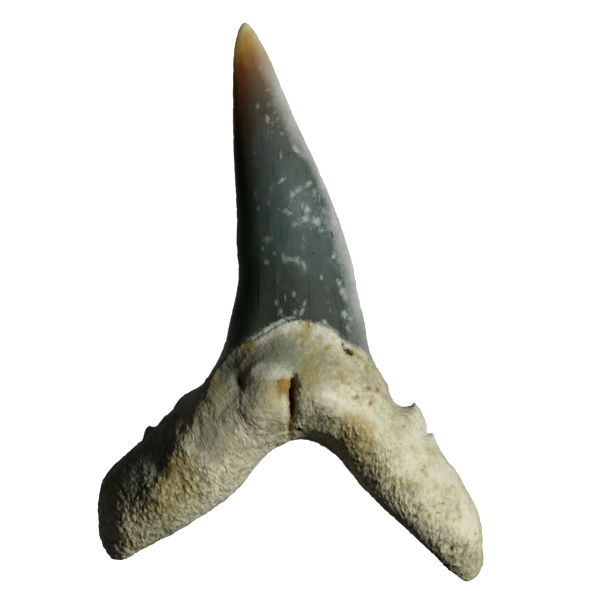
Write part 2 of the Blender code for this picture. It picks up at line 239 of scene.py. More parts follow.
@dataclass
class Crown:
    """The enamel crown: where it ends, its flecks, cracks and chips."""

    lingual_foot: Points = (
        (-4.60, -4.35), (-4.30, -3.90), (-3.51, -2.86), (-2.77, -2.40), (-2.30, -2.26), (-1.97, -2.18),
        (-1.45, -1.84), (-0.97, -1.56), (-0.54, -1.32), (0.10, -1.15), (0.51, -1.03), (1.17, -1.14),
        (1.83, -1.37), (2.54, -1.74), (2.91, -2.11), (3.71, -2.63), (4.37, -2.91), (4.9, -3.3),
    )  # fmt: skip
    labial_foot: Points = (
        (-8.3, -7.4), (-6.0, -5.9), (-3.0, -4.6), (0.3, -4.1), (3.2, -4.5), (5.8, -5.7), (8.1, -7.5),
    )  # fmt: skip
    left_edge: Points = (
        (-4.90, -4.65), (-3.95, -3.05), (-3.30, -0.70), (-3.05, 0.45), (-2.95, 1.50), (-3.05, 3.20),
        (-3.00, 4.65), (-3.25, 8.65), (-3.30, 12.65), (-3.10, 15.05), (-2.60, 16.00),
    )  # fmt: skip
    right_edge: Points = (
        (5.57, -4.75), (4.50, -2.85), (4.15, -1.10), (3.95, 0.00), (3.60, 1.90), (2.80, 4.50),
        (2.30, 5.75), (1.15, 8.45), (0.50, 9.85), (-0.60, 12.45), (-1.80, 14.95), (-2.35, 15.85),
    )  # fmt: skip
    enamel_edge: Range = (0.0, 0.15)  # past the enamel's end, to where its relief is full
    foot_step: float = 0.055
    foot_step_rise: Range = (-0.5, -0.1)  # past the enamel's end
    foot_step_fall: Range = (0.03, -0.05)  # the same
    foot_step_right: Range = (1.0, -1.5)  # X between which the step fades out to the right
    lines: Pattern = Pattern((0.12, 4.0, 0.5), 2, 3.0)
    line_height: float = 0.005
    rim: Range = (0.45, 0.1)  # how far the normals of the crown's rim point up or down
    chips: Pattern = Pattern((0.5, 0.3, 0.5), 2, 11.0)
    chipped: Range = (0.15, 0.6)  # noise from no chip to a whole one
    chip_depth: float = 0.05
    flecks: Sequence[Spot] = spots(
        (-0.5, 6.8, 0.3, 0.1, 1.0, -50), (-2.0, 6.1, 0.3, 0.14, 0.5), (-1.8, 5.2, 0.24, 0.1, 0.7),
        (-1.1, 6.4, 0.3, 0.12, 0.6, -20), (-1.2, 5.5, 0.2, 0.15, 0.5), (0.1, 6.0, 0.3, 0.2, 0.85, -20),
        (0.5, 6.3, 0.2, 0.2, 0.75), (1.0, 6.6, 0.3, 0.18, 0.9, -60), (1.35, 6.1, 0.34, 0.2, 0.65, -20),
        (-0.1, 5.0, 0.16, 0.4, 0.65, -15), (0.7, 5.5, 0.24, 0.15, 0.65), (0.95, 5.15, 0.24, 0.2, 0.95),
        (1.9, 5.1, 0.24, 0.2, 0.6), (0.85, 4.65, 0.22, 0.22, 0.95), (1.5, 4.5, 0.34, 0.28, 1.0, 20),
        (1.85, 4.0, 0.15, 0.32, 0.6, 20), (0.3, 4.3, 0.36, 0.36, 0.45), (-1.3, 3.5, 0.24, 0.34, 0.65),
        (-1.55, 2.95, 0.15, 0.12, 0.8), (-1.35, 2.2, 0.2, 0.14, 1.0, 20), (-0.9, 2.65, 0.2, 0.08, 0.6),
        (-0.35, 2.45, 0.32, 0.18, 0.75, 10), (0.0, 2.35, 0.18, 0.13, 0.85), (0.4, 2.25, 0.3, 0.18, 0.9, 15),
        (0.8, 1.95, 0.34, 0.13, 0.7, 10), (2.45, 2.55, 0.28, 0.11, 0.9, -30), (2.8, 2.3, 0.22, 0.15, 0.6),
        (2.75, 1.05, 0.28, 0.16, 0.85, 20), (2.95, 0.55, 0.24, 0.19, 0.75, 20),
        (3.15, 0.2, 0.24, 0.2, 0.7, 30), (3.05, -0.75, 0.24, 0.2, 0.95, 20), (3.4, -1.0, 0.16, 0.14, 0.7),
        (1.9, -1.15, 0.15, 0.15, 0.95), (0.8, -0.1, 0.22, 0.1, 0.9, -15),
        (0.65, -0.6, 0.26, 0.14, 0.85, -25), (0.2, 0.35, 0.2, 0.14, 0.6), (0.25, -0.65, 0.16, 0.12, 0.8),
        (-0.3, 0.15, 0.26, 0.06, 0.65), (-0.8, -0.05, 0.2, 0.12, 0.6), (-0.55, -0.65, 0.34, 0.22, 0.65),
        (1.75, 1.35, 0.2, 0.1, 0.9), (3.25, -1.55, 0.3, 0.13, 0.7, 20), (2.15, -0.05, 0.13, 0.13, 0.5),
        (2.25, -0.55, 0.2, 0.1, 0.5), (-0.55, 8.25, 0.32, 0.09, 0.7), (0.4, 8.5, 0.12, 0.24, 0.8, -30),
        (-1.85, 11.05, 0.2, 0.13, 0.8), (-1.3, 10.3, 0.32, 0.14, 0.8, 10), (-1.0, 10.05, 0.2, 0.12, 0.5),
        (-0.5, 9.45, 0.16, 0.16, 0.6), (-0.15, 9.75, 0.18, 0.18, 0.65), (0.25, 8.7, 0.26, 0.16, 0.8, 35),
        (-1.2, 12.75, 0.22, 0.12, 0.85), (-1.68, 13.25, 0.18, 0.13, 0.85), (-1.25, 12.0, 0.16, 0.24, 0.6),
        (-1.25, 11.15, 0.2, 0.15, 0.5), (-2.05, 8.4, 0.16, 0.16, 0.45), (-0.9, 11.3, 0.3, 0.16, 0.5),
        # The long thin spots along the enamel's foot, here and on the next line, are its pale rim, partly
        # painted highlight on the broken edge.
        (2.15, 3.7, 0.13, 0.13, 0.5), (1.55, -1.35, 0.2, 0.08, 0.6, -30), (-0.7, -1.26, 0.5, 0.1, 1.0, -62),
        (-1.4, -1.66, 0.5, 0.12, 1.0, -55), (-1.95, -2.04, 0.3, 0.09, 0.8, -50),
        (0.1, -0.92, 0.4, 0.07, 0.6, -95), (2.7, -1.75, 0.5, 0.1, 0.4, 55), (2.2, -1.4, 0.4, 0.1, 0.4, 55),
    )  # fmt: skip
    haze: Sequence[Spot] = spots(
        (0.9, 5.2, 1.5, 1.2, 0.8), (-0.4, 5.2, 0.6, 0.6, 0.6), (1.4, 4.4, 0.5, 0.8, 0.7),
        (-1.5, 3.4, 0.6, 0.6, 0.6), (0.0, 2.3, 0.5, 1.1, 0.5), (3.0, 0.7, 1.2, 0.4, 0.8, 15),
        (3.3, -1.1, 1.0, 0.4, 0.7, 20), (0.5, -0.5, 0.7, 0.5, 0.7), (-0.6, -0.4, 0.7, 0.4, 0.7),
        (-1.9, 5.8, 1.0, 0.35, 0.5), (1.9, 5.4, 1.2, 0.35, 0.7, 20), (-0.8, 10.9, 1.6, 0.6, 0.7, 10),
        (2.6, 2.4, 0.9, 0.4, 0.5, 10), (-1.2, 9.6, 0.8, 0.4, 0.4), (0.0, 9.0, 1.2, 0.4, 0.5, 25),
    )  # fmt: skip
    seams: Sequence[Spot] = spots(
        (-0.73, 1.1, 0.9, 0.035, 0.75), (-0.3, 0.0, 0.5, 0.03, 0.6), (0.75, 3.5, 0.75, 0.09, 0.8),
        (1.02, -1.45, 0.4, 0.09), (0.6, -1.95, 0.1, 0.3, 1.0, -25), (0.68, -2.35, 0.4, 0.1, 1.0, -10),
        (2.1, -2.6, 0.12, 0.16, 0.8), (2.9, -4.25, 0.3, 0.09, 0.8), (4.3, -3.8, 0.3, 0.1, 0.8, 10),
        (3.8, -3.1, 0.5, 0.1, 0.8, 48), (1.7, -2.4, 0.1, 0.14, 0.6), (-2.2, -2.6, 0.3, 0.2, 0.7),
        (-2.9, -2.9, 0.7, 0.12, 0.7, -50), (3.3, -4.6, 0.1, 0.2, 0.6), (-5.2, -10.2, 0.3, 0.1, 0.6, -30),
    )  # fmt: skip
    dark_points: Sequence[Spot] = spots(
        (1.3, 2.68, 0.12, 0.1), (0.65, 5.2, 0.16, 0.06, 0.7), (-0.1, 8.35, 0.12, 0.14, 0.7),
        (2.4, 3.6, 0.3, 0.07, 0.8, 15), (-1.65, 10.6, 0.1, 0.3, 0.7, 35), (0.5, 8.6, 0.1, 0.12, 0.5),
        (-0.55, 9.4, 0.2, 0.08, 0.6), (0.75, 0.0, 0.05, 0.2, 0.5), (2.3, 3.9, 0.2, 0.07, 0.6, 10),
    )  # fmt: skip
    brown: Sequence[Spot] = spots(
        (1.5, -0.5, 0.7, 0.6), (1.0, -0.9, 0.4, 0.4, 0.8), (-0.3, -0.8, 0.3, 0.5, 0.5),
        (2.1, -1.1, 0.5, 0.4, 0.9), (2.3, -0.2, 0.6, 0.3, 0.6), (2.9, -1.7, 0.4, 0.3, 0.5, 30),
        (-1.4, 10.7, 0.5, 0.4, 0.6), (0.0, 8.3, 0.4, 0.5, 0.4), (0.9, 8.3, 1.2, 0.2, 0.6, 26),
        (1.5, 6.7, 0.8, 0.18, 0.6, 26), (-0.6, 9.5, 0.6, 0.5, 0.5), (2.1, 5.4, 0.6, 0.15, 0.5, 24),
        (1.25, 1.35, 0.2, 0.3, 0.3), (-2.7, -2.0, 0.4, 0.4, 0.4),
    )  # fmt: skip
    cracks: Sequence[Points] = (
        ((2.42, 0.75), (2.5, 0.35), (2.56, -0.1), (2.7, -0.5), (2.74, -0.9), (2.84, -1.4), (2.9, -2.2)),
        ((1.03, 1.15), (1.08, 0.6), (1.05, 0.1), (1.1, -0.5), (1.04, -1.0), (1.07, -1.5)),
        ((-1.85, 1.4), (-1.8, 0.9), (-1.86, 0.3), (-1.8, -0.4)),
    )  # fmt: skip
    crack_reach: float = 9.0  # the farthest distance from a crack that is told apart

    def past_end(self, skin: Surface) -> np.ndarray:
        """Distance of each vertex past the enamel's end, positive on the enamel.

        Args:
            skin: The tooth's surface.

        Returns:
            One distance for each vertex, from the line of the face that it is on.
        """
        past = np.empty(len(skin.at))
        for face, line in ((Face.LINGUAL, self.lingual_foot), (Face.LABIAL, self.labial_foot)):
            on = skin.is_on(face)
            x, y = skin.at[on, 0], skin.at[on, 1]
            above = y > np.interp(x, *zip(*line))
            past[on] = np.where(above, 1, -1) * np.abs(distance_to_line(x, y, line))
        return past

    def across(self, skin: Surface) -> tuple[np.ndarray, np.ndarray]:
        """Where each vertex lies across the crown.

        Args:
            skin: The tooth's surface.

        Returns:
            The distance from the right edge, and the share of the way from the left one to it.
        """
        left, right = np.abs(skin.distance(self.left_edge)), np.abs(skin.distance(self.right_edge))
        return right, left / (left + right + 1e-6)

    def relief(self, skin: Surface, past_end: np.ndarray) -> np.ndarray:
        """Height of the crown's own relief: fine lines, chipped edges and the step at its foot.

        Args:
            skin: The tooth's surface.
            past_end: Distance of each vertex past the enamel's end.

        Returns:
            One height for each vertex.
        """
        lines = self.line_height * self.lines.at(skin.at)
        on_rim = smoothstep(*self.rim, np.abs(skin.out[:, 2]))
        chips = smoothstep(*self.chipped, self.chips.at(skin.at))
        beside_foot = smoothstep(*self.foot_step_rise, past_end) * smoothstep(*self.foot_step_fall, past_end)
        on_left = smoothstep(*self.foot_step_right, skin.at[:, 0])
        step = self.foot_step * beside_foot * skin.is_on(Face.LINGUAL) * on_left
        return smoothstep(*self.enamel_edge, past_end) * (lines - self.chip_depth * on_rim * chips) + step

    def from_crack(self, skin: Surface) -> np.ndarray:
        """Distance of each vertex from the nearest crack, with the sign of its side."""
        nearest = np.full(len(skin.at), self.crack_reach)
        for line in self.cracks:
            distance = skin.distance(line)
            nearest = np.where(np.abs(distance) < np.abs(nearest), distance, nearest)
        return nearest


@dataclass
class Root:
    """The root: its swells, wrinkles, grain and pits, and where it is stained."""

    lean_change: Range = (1.0, -3.0)  # X between which the wrinkles turn from upright to leaning
    wrinkles: Pattern = Pattern((0.3, 0.6, 0.5), 2, 0.0)
    crease_depth: float = 0.06
    beads: Pattern = Pattern((0.24, 0.36, 0.36), 1, 31.0)
    bead_height: float = 0.04
    grain: Pattern = Pattern((0.17, 0.17, 0.17), 2, 17.0)
    grain_height: float = 0.018
    grain_everywhere: float = 0.3  # its share on smooth places
    lumps: Pattern = Pattern((0.9, 0.9, 0.9), 3, 23.0)
    lump_height: float = 0.05
    groove_walls: Pattern = Pattern((0.35, 0.35, 0.35), 2, 41.0)
    groove_unevenness: float = 0.09
    groove_side: Range = (0.6, 0.2)  # distance from the groove, to where its walls are most uneven
    roughness_everywhere: float = 0.4
    most_smoothness: float = 0.9
    ridge_level: float = 0.6  # of a ridge's height, what lies level with the surface
    mark_level: float = 0.62  # of a ridge's height, what is marked as neither hollow nor ridge
    marked_by: tuple[float, float, float] = (1.1, 0.7, 0.35)  # shares of wrinkles, beads and grain
    rough_places: Sequence[Spot] = spots(
        (-6.4, -10.3, 2.8, 1.4, 0.65, -40), (-8.9, -12.6, 1.9, 1.4, 0.9, -40),
        (5.3, -10.1, 3.6, 0.8, 0.8, 41), (9.3, -14.4, 1.4, 1.0, 0.8, 20), (7.6, -11.6, 2.0, 1.1, 0.25, 41),
        (-1.6, -7.6, 0.9, 1.6, 0.35), (1.6, -6.6, 0.5, 1.3, 0.3), (-3.2, -10.2, 1.6, 0.8, 0.3, -45),
        (3.6, -7.2, 0.8, 0.8, 0.2),
    )  # fmt: skip
    smooth_places: Sequence[Spot] = spots(
        (2.8, -5.5, 0.75, 1.7, 1.0, -32), (0.6, -2.2, 1.3, 3.6, 0.55), (5.2, -6.4, 1.0, 1.0, 0.6),
        (7.4, -8.4, 2.2, 1.4, 0.65, 30), (-1.0, -4.0, 0.9, 1.6, 0.6), (-4.4, -7.5, 1.5, 1.6, 0.75, -30),
        (9.2, -11.0, 2.2, 0.9, 0.55, 40), (9.7, -12.6, 0.8, 0.9, 0.6), (-1.2, -5.9, 0.9, 1.0, 0.7),
        (-3.4, -5.2, 0.9, 1.2, 0.35),
    )  # fmt: skip
    pits: Sequence[Spot] = spots(
        (3.36, -2.84, 0.26, 0.12, 1.1, 48), (2.98, -2.45, 0.34, 0.06, 0.8, 15),
        (6.43, -7.0, 0.13, 0.11, 0.4), (7.46, -7.2, 0.1, 0.1, 0.35), (9.2, -10.45, 0.15, 0.12, 0.35),
        (9.55, -12.3, 0.11, 0.1, 0.35), (9.1, -13.95, 0.2, 0.17, 0.6), (7.1, -11.65, 0.12, 0.12, 0.35),
        (8.6, -11.4, 0.1, 0.16, 0.35), (-5.1, -11.0, 0.16, 0.12, 0.6, 30),
        (-2.85, -4.5, 0.5, 0.22, 0.42, 8), (0.45, -7.3, 0.12, 0.2, 0.8), (7.6, -9.3, 0.09, 0.14, 0.35),
        (8.3, -13.0, 0.12, 0.09, 0.4), (5.9, -8.3, 0.08, 0.12, 0.3),
    )  # fmt: skip
    pit_depth: float = 0.22
    swells: Sequence[Spot] = spots(
        (-6.9, -6.3, 0.9, 0.6, 0.8, -35), (-6.2, -8.2, 0.7, 0.8, 0.9), (-6.6, -9.4, 0.7, 0.7, 0.8, -30),
        (-7.3, -10.8, 1.0, 0.9, 0.9, -50), (-7.7, -8.9, 1.0, 0.7, -0.5, -35), (-9.5, -12.7, 1.1, 0.8),
        (-2.2, -6.1, 1.1, 1.0, 0.4),
    )  # fmt: skip
    swell_height: float = 0.3
    groove: Points = ((0.12, -4.4), (0.1, -5.1), (0.14, -5.75), (0.08, -6.3))
    groove_wall: Range = (0.3, 0.06)  # distance from its middle, down to its floor
    groove_foot: Spot = Spot(-0.06, -7.0, 0.8, 0.22, 0.5, 8)  # its shallow end by the arch
    # Partly the stone's cream tone and partly painted light: the spots at the left lobe's lower end, its
    # shoulder and its lower middle lift places that lie in shade.
    cream: Sequence[Spot] = spots(
        (-10.2, -12.9, 1.8, 0.8, 1.0, 10), (-1.9, -9.4, 1.8, 0.8, 0.9, -50),
        (4.1, -10.3, 1.0, 0.5, 0.9, 40), (-5.7, -5.8, 0.9, 0.8, 0.8, -40), (1.0, -5.7, 1.0, 0.7, 0.5),
        (2.3, -7.1, 0.9, 0.9, 0.7), (-1.6, -7.3, 1.0, 1.5, 0.7), (-5.6, -7.3, 0.9, 0.8, 0.5),
        (7.6, -9.2, 5.2, 2.3, 1.0, 38), (9.8, -12.0, 3.4, 1.5, 0.6, 30), (3.4, -5.6, 1.2, 2.4, 0.75, -20),
        (-1.4, -6.1, 1.3, 1.3), (-1.3, -5.9, 0.9, 0.9, 0.6), (0.9, -1.9, 0.8, 2.6, 0.3),
        (3.2, -2.9, 0.8, 1.6, 0.6, -40), (-0.9, -4.0, 0.6, 1.2, 0.8), (-5.0, -11.8, 1.2, 2.6, 0.55, 32),
        (-3.2, -8.6, 1.4, 1.8, 0.2), (-2.2, -9.0, 0.9, 1.8, 0.4, 30), (-5.4, -9.2, 1.3, 1.0, 0.4),
        (5.2, -7.2, 1.5, 1.2, 0.3), (-9.6, -14.0, 0.8, 1.0, 0.7, 30), (-3.4, -10.6, 0.9, 1.6, 0.35, -45),
        (-1.9, -6.6, 1.3, 1.6, 0.4), (-5.6, -11.6, 1.0, 2.4, 0.4, 32), (6.4, -10.4, 2.6, 0.7, 0.5, 41),
        (-5.2, -11.3, 1.2, 2.4, 0.6, 32), (-6.2, -9.9, 1.0, 1.2, 0.3),
    )  # fmt: skip
    rust: Sequence[Spot] = spots(
        (-0.35, -4.72, 0.36, 0.32, 1.3, 10), (-0.6, -5.2, 0.3, 0.2, 0.4), (-0.14, -5.0, 0.7, 0.13, 0.7),
        (-1.0, -4.45, 0.12, 0.6, 0.4), (4.42, -4.9, 0.18, 0.22, 0.8), (4.92, -5.0, 0.2, 0.14, 0.8),
        (4.62, -5.36, 0.12, 0.12, 0.5), (3.72, -5.39, 0.15, 0.3, 0.75, 20), (4.51, -5.77, 0.2, 0.18, 0.8),
        (-6.0, -9.7, 0.6, 0.35, 0.3, 20), (-6.5, -9.1, 1.2, 0.3, 0.45, -25), (-6.9, -9.3, 0.4, 0.3, 0.35),
        (3.7, -7.5, 0.7, 0.6, 0.4), (4.6, -10.0, 0.4, 0.3, 0.55), (6.6, -10.6, 0.4, 0.3, 0.35),
        (-2.3, -5.6, 0.5, 0.4, 0.2),
    )  # fmt: skip
    ochre: Sequence[Spot] = spots(
        (0.9, -3.9, 0.8, 0.8, 0.6), (-3.9, -4.8, 0.8, 0.7, 0.5), (-7.0, -11.8, 1.4, 0.9, 0.5),
        (3.5, -7.2, 0.9, 0.9, 1.0, -20), (3.5, -7.7, 0.7, 0.7, 0.9), (4.2, -8.0, 1.1, 0.5, 0.6, 20),
        (0.9, -1.7, 0.6, 0.3, 0.4), (-2.1, -2.7, 0.35, 0.4, 0.9), (-6.1, -9.8, 1.1, 1.0, 0.8, 20),
        (-6.4, -9.3, 1.6, 0.7, 0.5, -25), (-6.4, -10.9, 0.9, 1.5, 0.35, 35),
        (-5.2, -10.8, 0.6, 1.0, 0.25, 35), (-8.2, -11.4, 1.2, 1.2, 0.45), (-1.9, -6.0, 1.1, 0.8, 0.4),
        (5.4, -6.2, 0.8, 0.8, 0.25), (-4.3, -6.1, 0.6, 0.6, 0.4), (2.9, -4.1, 0.4, 1.1, 0.5),
        (1.2, -3.2, 0.4, 0.6, 0.4), (4.3, -3.9, 0.3, 0.3, 0.4), (2.1, -2.6, 0.2, 0.25, 0.8),
        (5.9, -4.9, 0.3, 0.3, 0.4), (5.9, -7.2, 0.5, 0.6, 0.45), (6.6, -10.3, 0.5, 0.8, 0.5),
        (9.3, -11.0, 0.4, 0.25, 0.4), (9.9, -9.9, 0.6, 0.2, 0.4, 30), (-0.6, -6.9, 0.8, 0.5, 0.5),
        (1.2, -5.4, 1.2, 0.6, 0.5), (-1.0, -5.2, 0.9, 0.6, 0.7), (9.2, -14.4, 0.6, 0.7, 0.45),
        (7.6, -12.3, 0.7, 0.5, 0.35, 40), (-9.2, -13.6, 0.9, 0.9, 0.35), (1.4, -6.9, 0.4, 1.4, 0.45),
        (-3.0, -9.8, 1.0, 0.8, 0.4, -45), (-2.6, -2.55, 0.6, 0.2, 0.6, -45),
        (3.75, -3.0, 0.6, 0.25, 0.7, 50), (0.85, -1.5, 0.5, 0.13, 0.9, -5), (3.1, -2.9, 0.4, 0.3, 0.4, 45),
        (-4.6, -4.6, 0.8, 0.5, 0.5, -50), (5.2, -9.6, 1.8, 0.5, 0.5, 41), (4.0, -8.6, 0.6, 0.5, 0.4, 40),
    )  # fmt: skip
    # Partly slate-grey patches and partly painted shade: the spots on the left lobe's outer flank, at the
    # right lobe's lower tip and in the crease above the bosses darken places that lie in shade.
    slate: Sequence[Spot] = spots(
        (-7.4, -9.2, 1.2, 0.8, 1.0, -20), (-7.0, -12.9, 1.2, 1.0, 0.75), (8.7, -15.0, 0.9, 0.45, 0.9, 40),
        (-3.9, -4.7, 1.0, 0.8, 0.7), (-0.4, -2.4, 0.5, 0.7, 0.8), (0.3, -3.7, 0.7, 0.9, 0.6),
        (-0.9, -3.0, 0.42, 1.3, 1.0, 10), (-0.1, -3.5, 0.4, 0.8, 0.7), (-3.2, -4.6, 0.8, 0.8, 0.4),
        (-4.6, -8.0, 1.0, 1.2, 0.5), (-8.7, -9.9, 1.3, 1.2), (-7.4, -8.6, 0.8, 1.4, 0.6, 30),
        (-3.7, -6.6, 0.9, 0.9, 0.4), (8.7, -13.0, 0.6, 0.6, 0.4), (9.9, -14.9, 0.7, 0.5, 0.35),
        (-1.7, -2.6, 0.7, 0.8, 0.45, -30), (-3.9, -4.5, 0.5, 0.5, 0.3), (1.9, -3.4, 0.35, 1.4, 0.35),
    )  # fmt: skip
    # Partly chalky patches and partly painted light: the spots at the left lobe's lower end, lower middle and
    # shoulder lift shaded places, and the long spot on the right boss is partly a painted highlight.
    chalk: Sequence[Spot] = spots(
        (-10.3, -13.3, 1.3, 0.7, 1.0, 10), (-2.6, -10.3, 1.6, 0.6, 1.0, -50),
        (4.1, -10.4, 1.0, 0.45, 0.8, 40), (-5.8, -5.6, 0.8, 0.7, 0.9, -40),
        (-0.9, -8.7, 0.8, 0.7, 0.6, -40), (2.35, -5.5, 0.72, 1.5, 0.65, -32), (5.3, -6.4, 0.9, 0.9, 0.5),
        (6.6, -8.9, 0.5, 0.4, 0.8), (8.9, -10.0, 0.6, 0.6, 0.9), (10.2, -12.9, 0.9, 0.6),
        (7.3, -7.6, 1.0, 0.7, 0.4), (2.3, -2.2, 0.6, 1.0, 0.6, -25), (7.4, -7.0, 1.0, 0.9, 0.6, 30),
        (9.0, -9.0, 1.4, 0.8, 0.6, 30), (-1.25, -3.85, 0.4, 1.3, 0.9, 5), (-4.9, -11.6, 1.0, 1.7, 0.2, 32),
        (6.8, -10.0, 0.9, 0.6, 0.45, 40), (-0.95, -5.9, 0.4, 0.4, 0.3), (-4.1, -9.4, 0.6, 0.8, 0.4),
        (-1.3, -5.9, 1.1, 1.0, 0.6), (0.0, -1.5, 0.35, 0.7, 0.6), (-0.2, -1.35, 0.4, 0.3, 0.6, -60),
        (-2.9, -2.9, 0.7, 0.14, 0.5, -45), (7.1, -6.0, 0.4, 0.35, 0.7), (8.1, -7.7, 0.4, 0.3, 0.6),
        (9.9, -11.4, 0.9, 0.4, 0.6, 20), (8.1, -9.7, 0.3, 0.5, 0.5), (6.3, -8.0, 0.4, 0.5, 0.5),
        (1.6, -1.6, 0.25, 0.5, 0.6, -20), (-1.6, -2.2, 0.3, 0.6, 0.3, 35), (3.4, -2.6, 0.4, 0.8, 0.25, -40),
    )  # fmt: skip

    def leaning(self, skin: Surface) -> np.ndarray:
        """Coordinates that lean with the wrinkles.

        Args:
            skin: The tooth's surface.

        Returns:
            For each vertex, the places across and along the wrinkles, and the height.
        """
        x, y, z = skin.at.T
        turn = math.radians(WRINKLE_LEAN) * smoothstep(*self.lean_change, x)
        return np.column_stack([x * np.cos(turn) + y * np.sin(turn), y * np.cos(turn) - x * np.sin(turn), z])

    def rough(self, skin: Surface) -> np.ndarray:
        """How rough the root is at each vertex, from 0 to 1."""
        up = skin.facing_up()
        rough = np.clip(self.roughness_everywhere + up * skin.total(self.rough_places), 0, 1)
        return rough * (1 - np.clip(skin.total(self.smooth_places), 0, self.most_smoothness) * up)

    def in_groove(self, skin: Surface) -> np.ndarray:
        """How deep each vertex lies in the groove between the bosses, from 0 to 1."""
        floor = smoothstep(*self.groove_wall, np.abs(skin.distance(self.groove)))
        return np.maximum(floor * skin.facing_up(), skin.total([self.groove_foot]) * skin.facing_up())

    def relief(self, skin: Surface) -> tuple[np.ndarray, np.ndarray]:
        """Height of the root's relief, and the mark of its grain.

        Args:
            skin: The tooth's surface.

        Returns:
            One height for each vertex, and its grain from -1 in a hollow to 1 on a ridge.
        """
        rough, leaning = self.rough(skin), self.leaning(skin)
        wrinkles, beads = self.wrinkles.ridges(leaning), self.beads.ridges(leaning)
        grain = self.grain.at(skin.at)
        beside_groove = smoothstep(*self.groove_side, np.abs(skin.distance(self.groove))) * skin.facing_up()
        grained = (self.grain_everywhere + rough) * self.grain_height * grain
        height = self.lump_height * self.lumps.at(skin.at) + grained
        height += beside_groove * self.groove_unevenness * self.groove_walls.at(skin.at)
        creases = self.crease_depth * (wrinkles - self.ridge_level)
        height += rough * (creases + self.bead_height * (beads - self.ridge_level))
        height -= self.pit_depth * skin.marked(self.pits)
        height += self.swell_height * np.clip(skin.out[:, 2], 0, 1) * skin.total(self.swells)
        wrinkled, beaded, grainy = self.marked_by
        marked = wrinkled * (wrinkles - self.mark_level) + beaded * (beads - self.mark_level) + grainy * grain
        return height, np.clip(rough * marked, -1, 1)


@dataclass(frozen=True)
class EnamelFinish:
    """Colours and gloss of the crown. The three rows are read from its foot to its tip, by Y."""

    # The left row is partly the crown's own colour and partly painted light: it is lighter than the middle
    # row to lift the shaded left flank.
    left: Stops = (
        (-1.5, (0.060, 0.094, 0.060)), (3.0, (0.078, 0.116, 0.082)), (6.5, (0.054, 0.060, 0.036)),
        (8.6, (0.056, 0.040, 0.013)), (10.5, (0.072, 0.030, 0.009)), (12.0, (0.120, 0.038, 0.009)),
        (13.2, (0.208, 0.058, 0.009)), (14.2, (0.340, 0.185, 0.024)), (14.9, (0.480, 0.350, 0.085)),
        (15.5, (0.540, 0.500, 0.270)),
    )  # fmt: skip
    middle: Stops = (
        (-1.5, (0.013, 0.020, 0.010)), (0.0, (0.016, 0.026, 0.014)), (1.8, (0.032, 0.053, 0.036)),
        (3.5, (0.043, 0.074, 0.062)), (6.0, (0.044, 0.074, 0.062)), (8.6, (0.056, 0.068, 0.060)),
        (11.5, (0.080, 0.069, 0.046)), (12.6, (0.142, 0.085, 0.048)), (13.7, (0.250, 0.123, 0.043)),
        (14.4, (0.340, 0.172, 0.040)), (15.0, (0.450, 0.300, 0.082)), (15.6, (0.520, 0.470, 0.240)),
    )  # fmt: skip
    right: Stops = (
        (-1.8, (0.038, 0.052, 0.036)), (0.5, (0.026, 0.042, 0.029)), (3.0, (0.043, 0.070, 0.067)),
        (6.0, (0.060, 0.088, 0.076)), (8.6, (0.056, 0.066, 0.054)), (11.5, (0.140, 0.134, 0.096)),
        (12.6, (0.185, 0.148, 0.096)), (13.8, (0.300, 0.215, 0.105)), (15.2, (0.480, 0.420, 0.240)),
    )  # fmt: skip
    dark: Colour = (0.016, 0.023, 0.017)
    green: Colour = (0.042, 0.070, 0.050)
    teal: Colour = (0.075, 0.098, 0.104)
    # the pale right edge: partly the enamel's own pale edge and partly painted light
    edge: Colour = (0.540, 0.550, 0.520)
    brown: Colour = (0.033, 0.040, 0.024)
    fleck: Colour = (0.240, 0.290, 0.260)
    pale_fleck: Colour = (0.360, 0.400, 0.385)
    warm_fleck: Colour = (0.300, 0.270, 0.220)
    streak: Colour = (0.170, 0.160, 0.080)
    amber: Colour = (0.420, 0.270, 0.060)
    # the left rim's two colours are painted light along the crown's shaded left edge
    grey_painted_rim_light: Colour = (0.230, 0.250, 0.210)
    warm_painted_rim_light: Colour = (0.560, 0.440, 0.210)
    # the pale rim at the enamel's foot, partly painted highlight on its broken edge
    foot: Colour = (0.580, 0.610, 0.530)
    crack: Colour = (0.008, 0.009, 0.007)
    roughness: float = 0.55
    fleck_roughness: float = 0.7
    brown_roughness: float = 0.75
    depth: float = 0.8  # that light goes into the thin tip


@dataclass(frozen=True)
class Blotch:
    """A tint that noise spreads over the root.

    Attributes:
        size: Size of its patches.
        seed: Which noise pattern it follows.
        low: Noise up to which there is none of it.
        high: Noise from which there is most of it.
        most: How much of it there is at most.
        colour: The tint.
    """

    size: float
    seed: float
    low: float
    high: float
    most: float
    colour: Colour


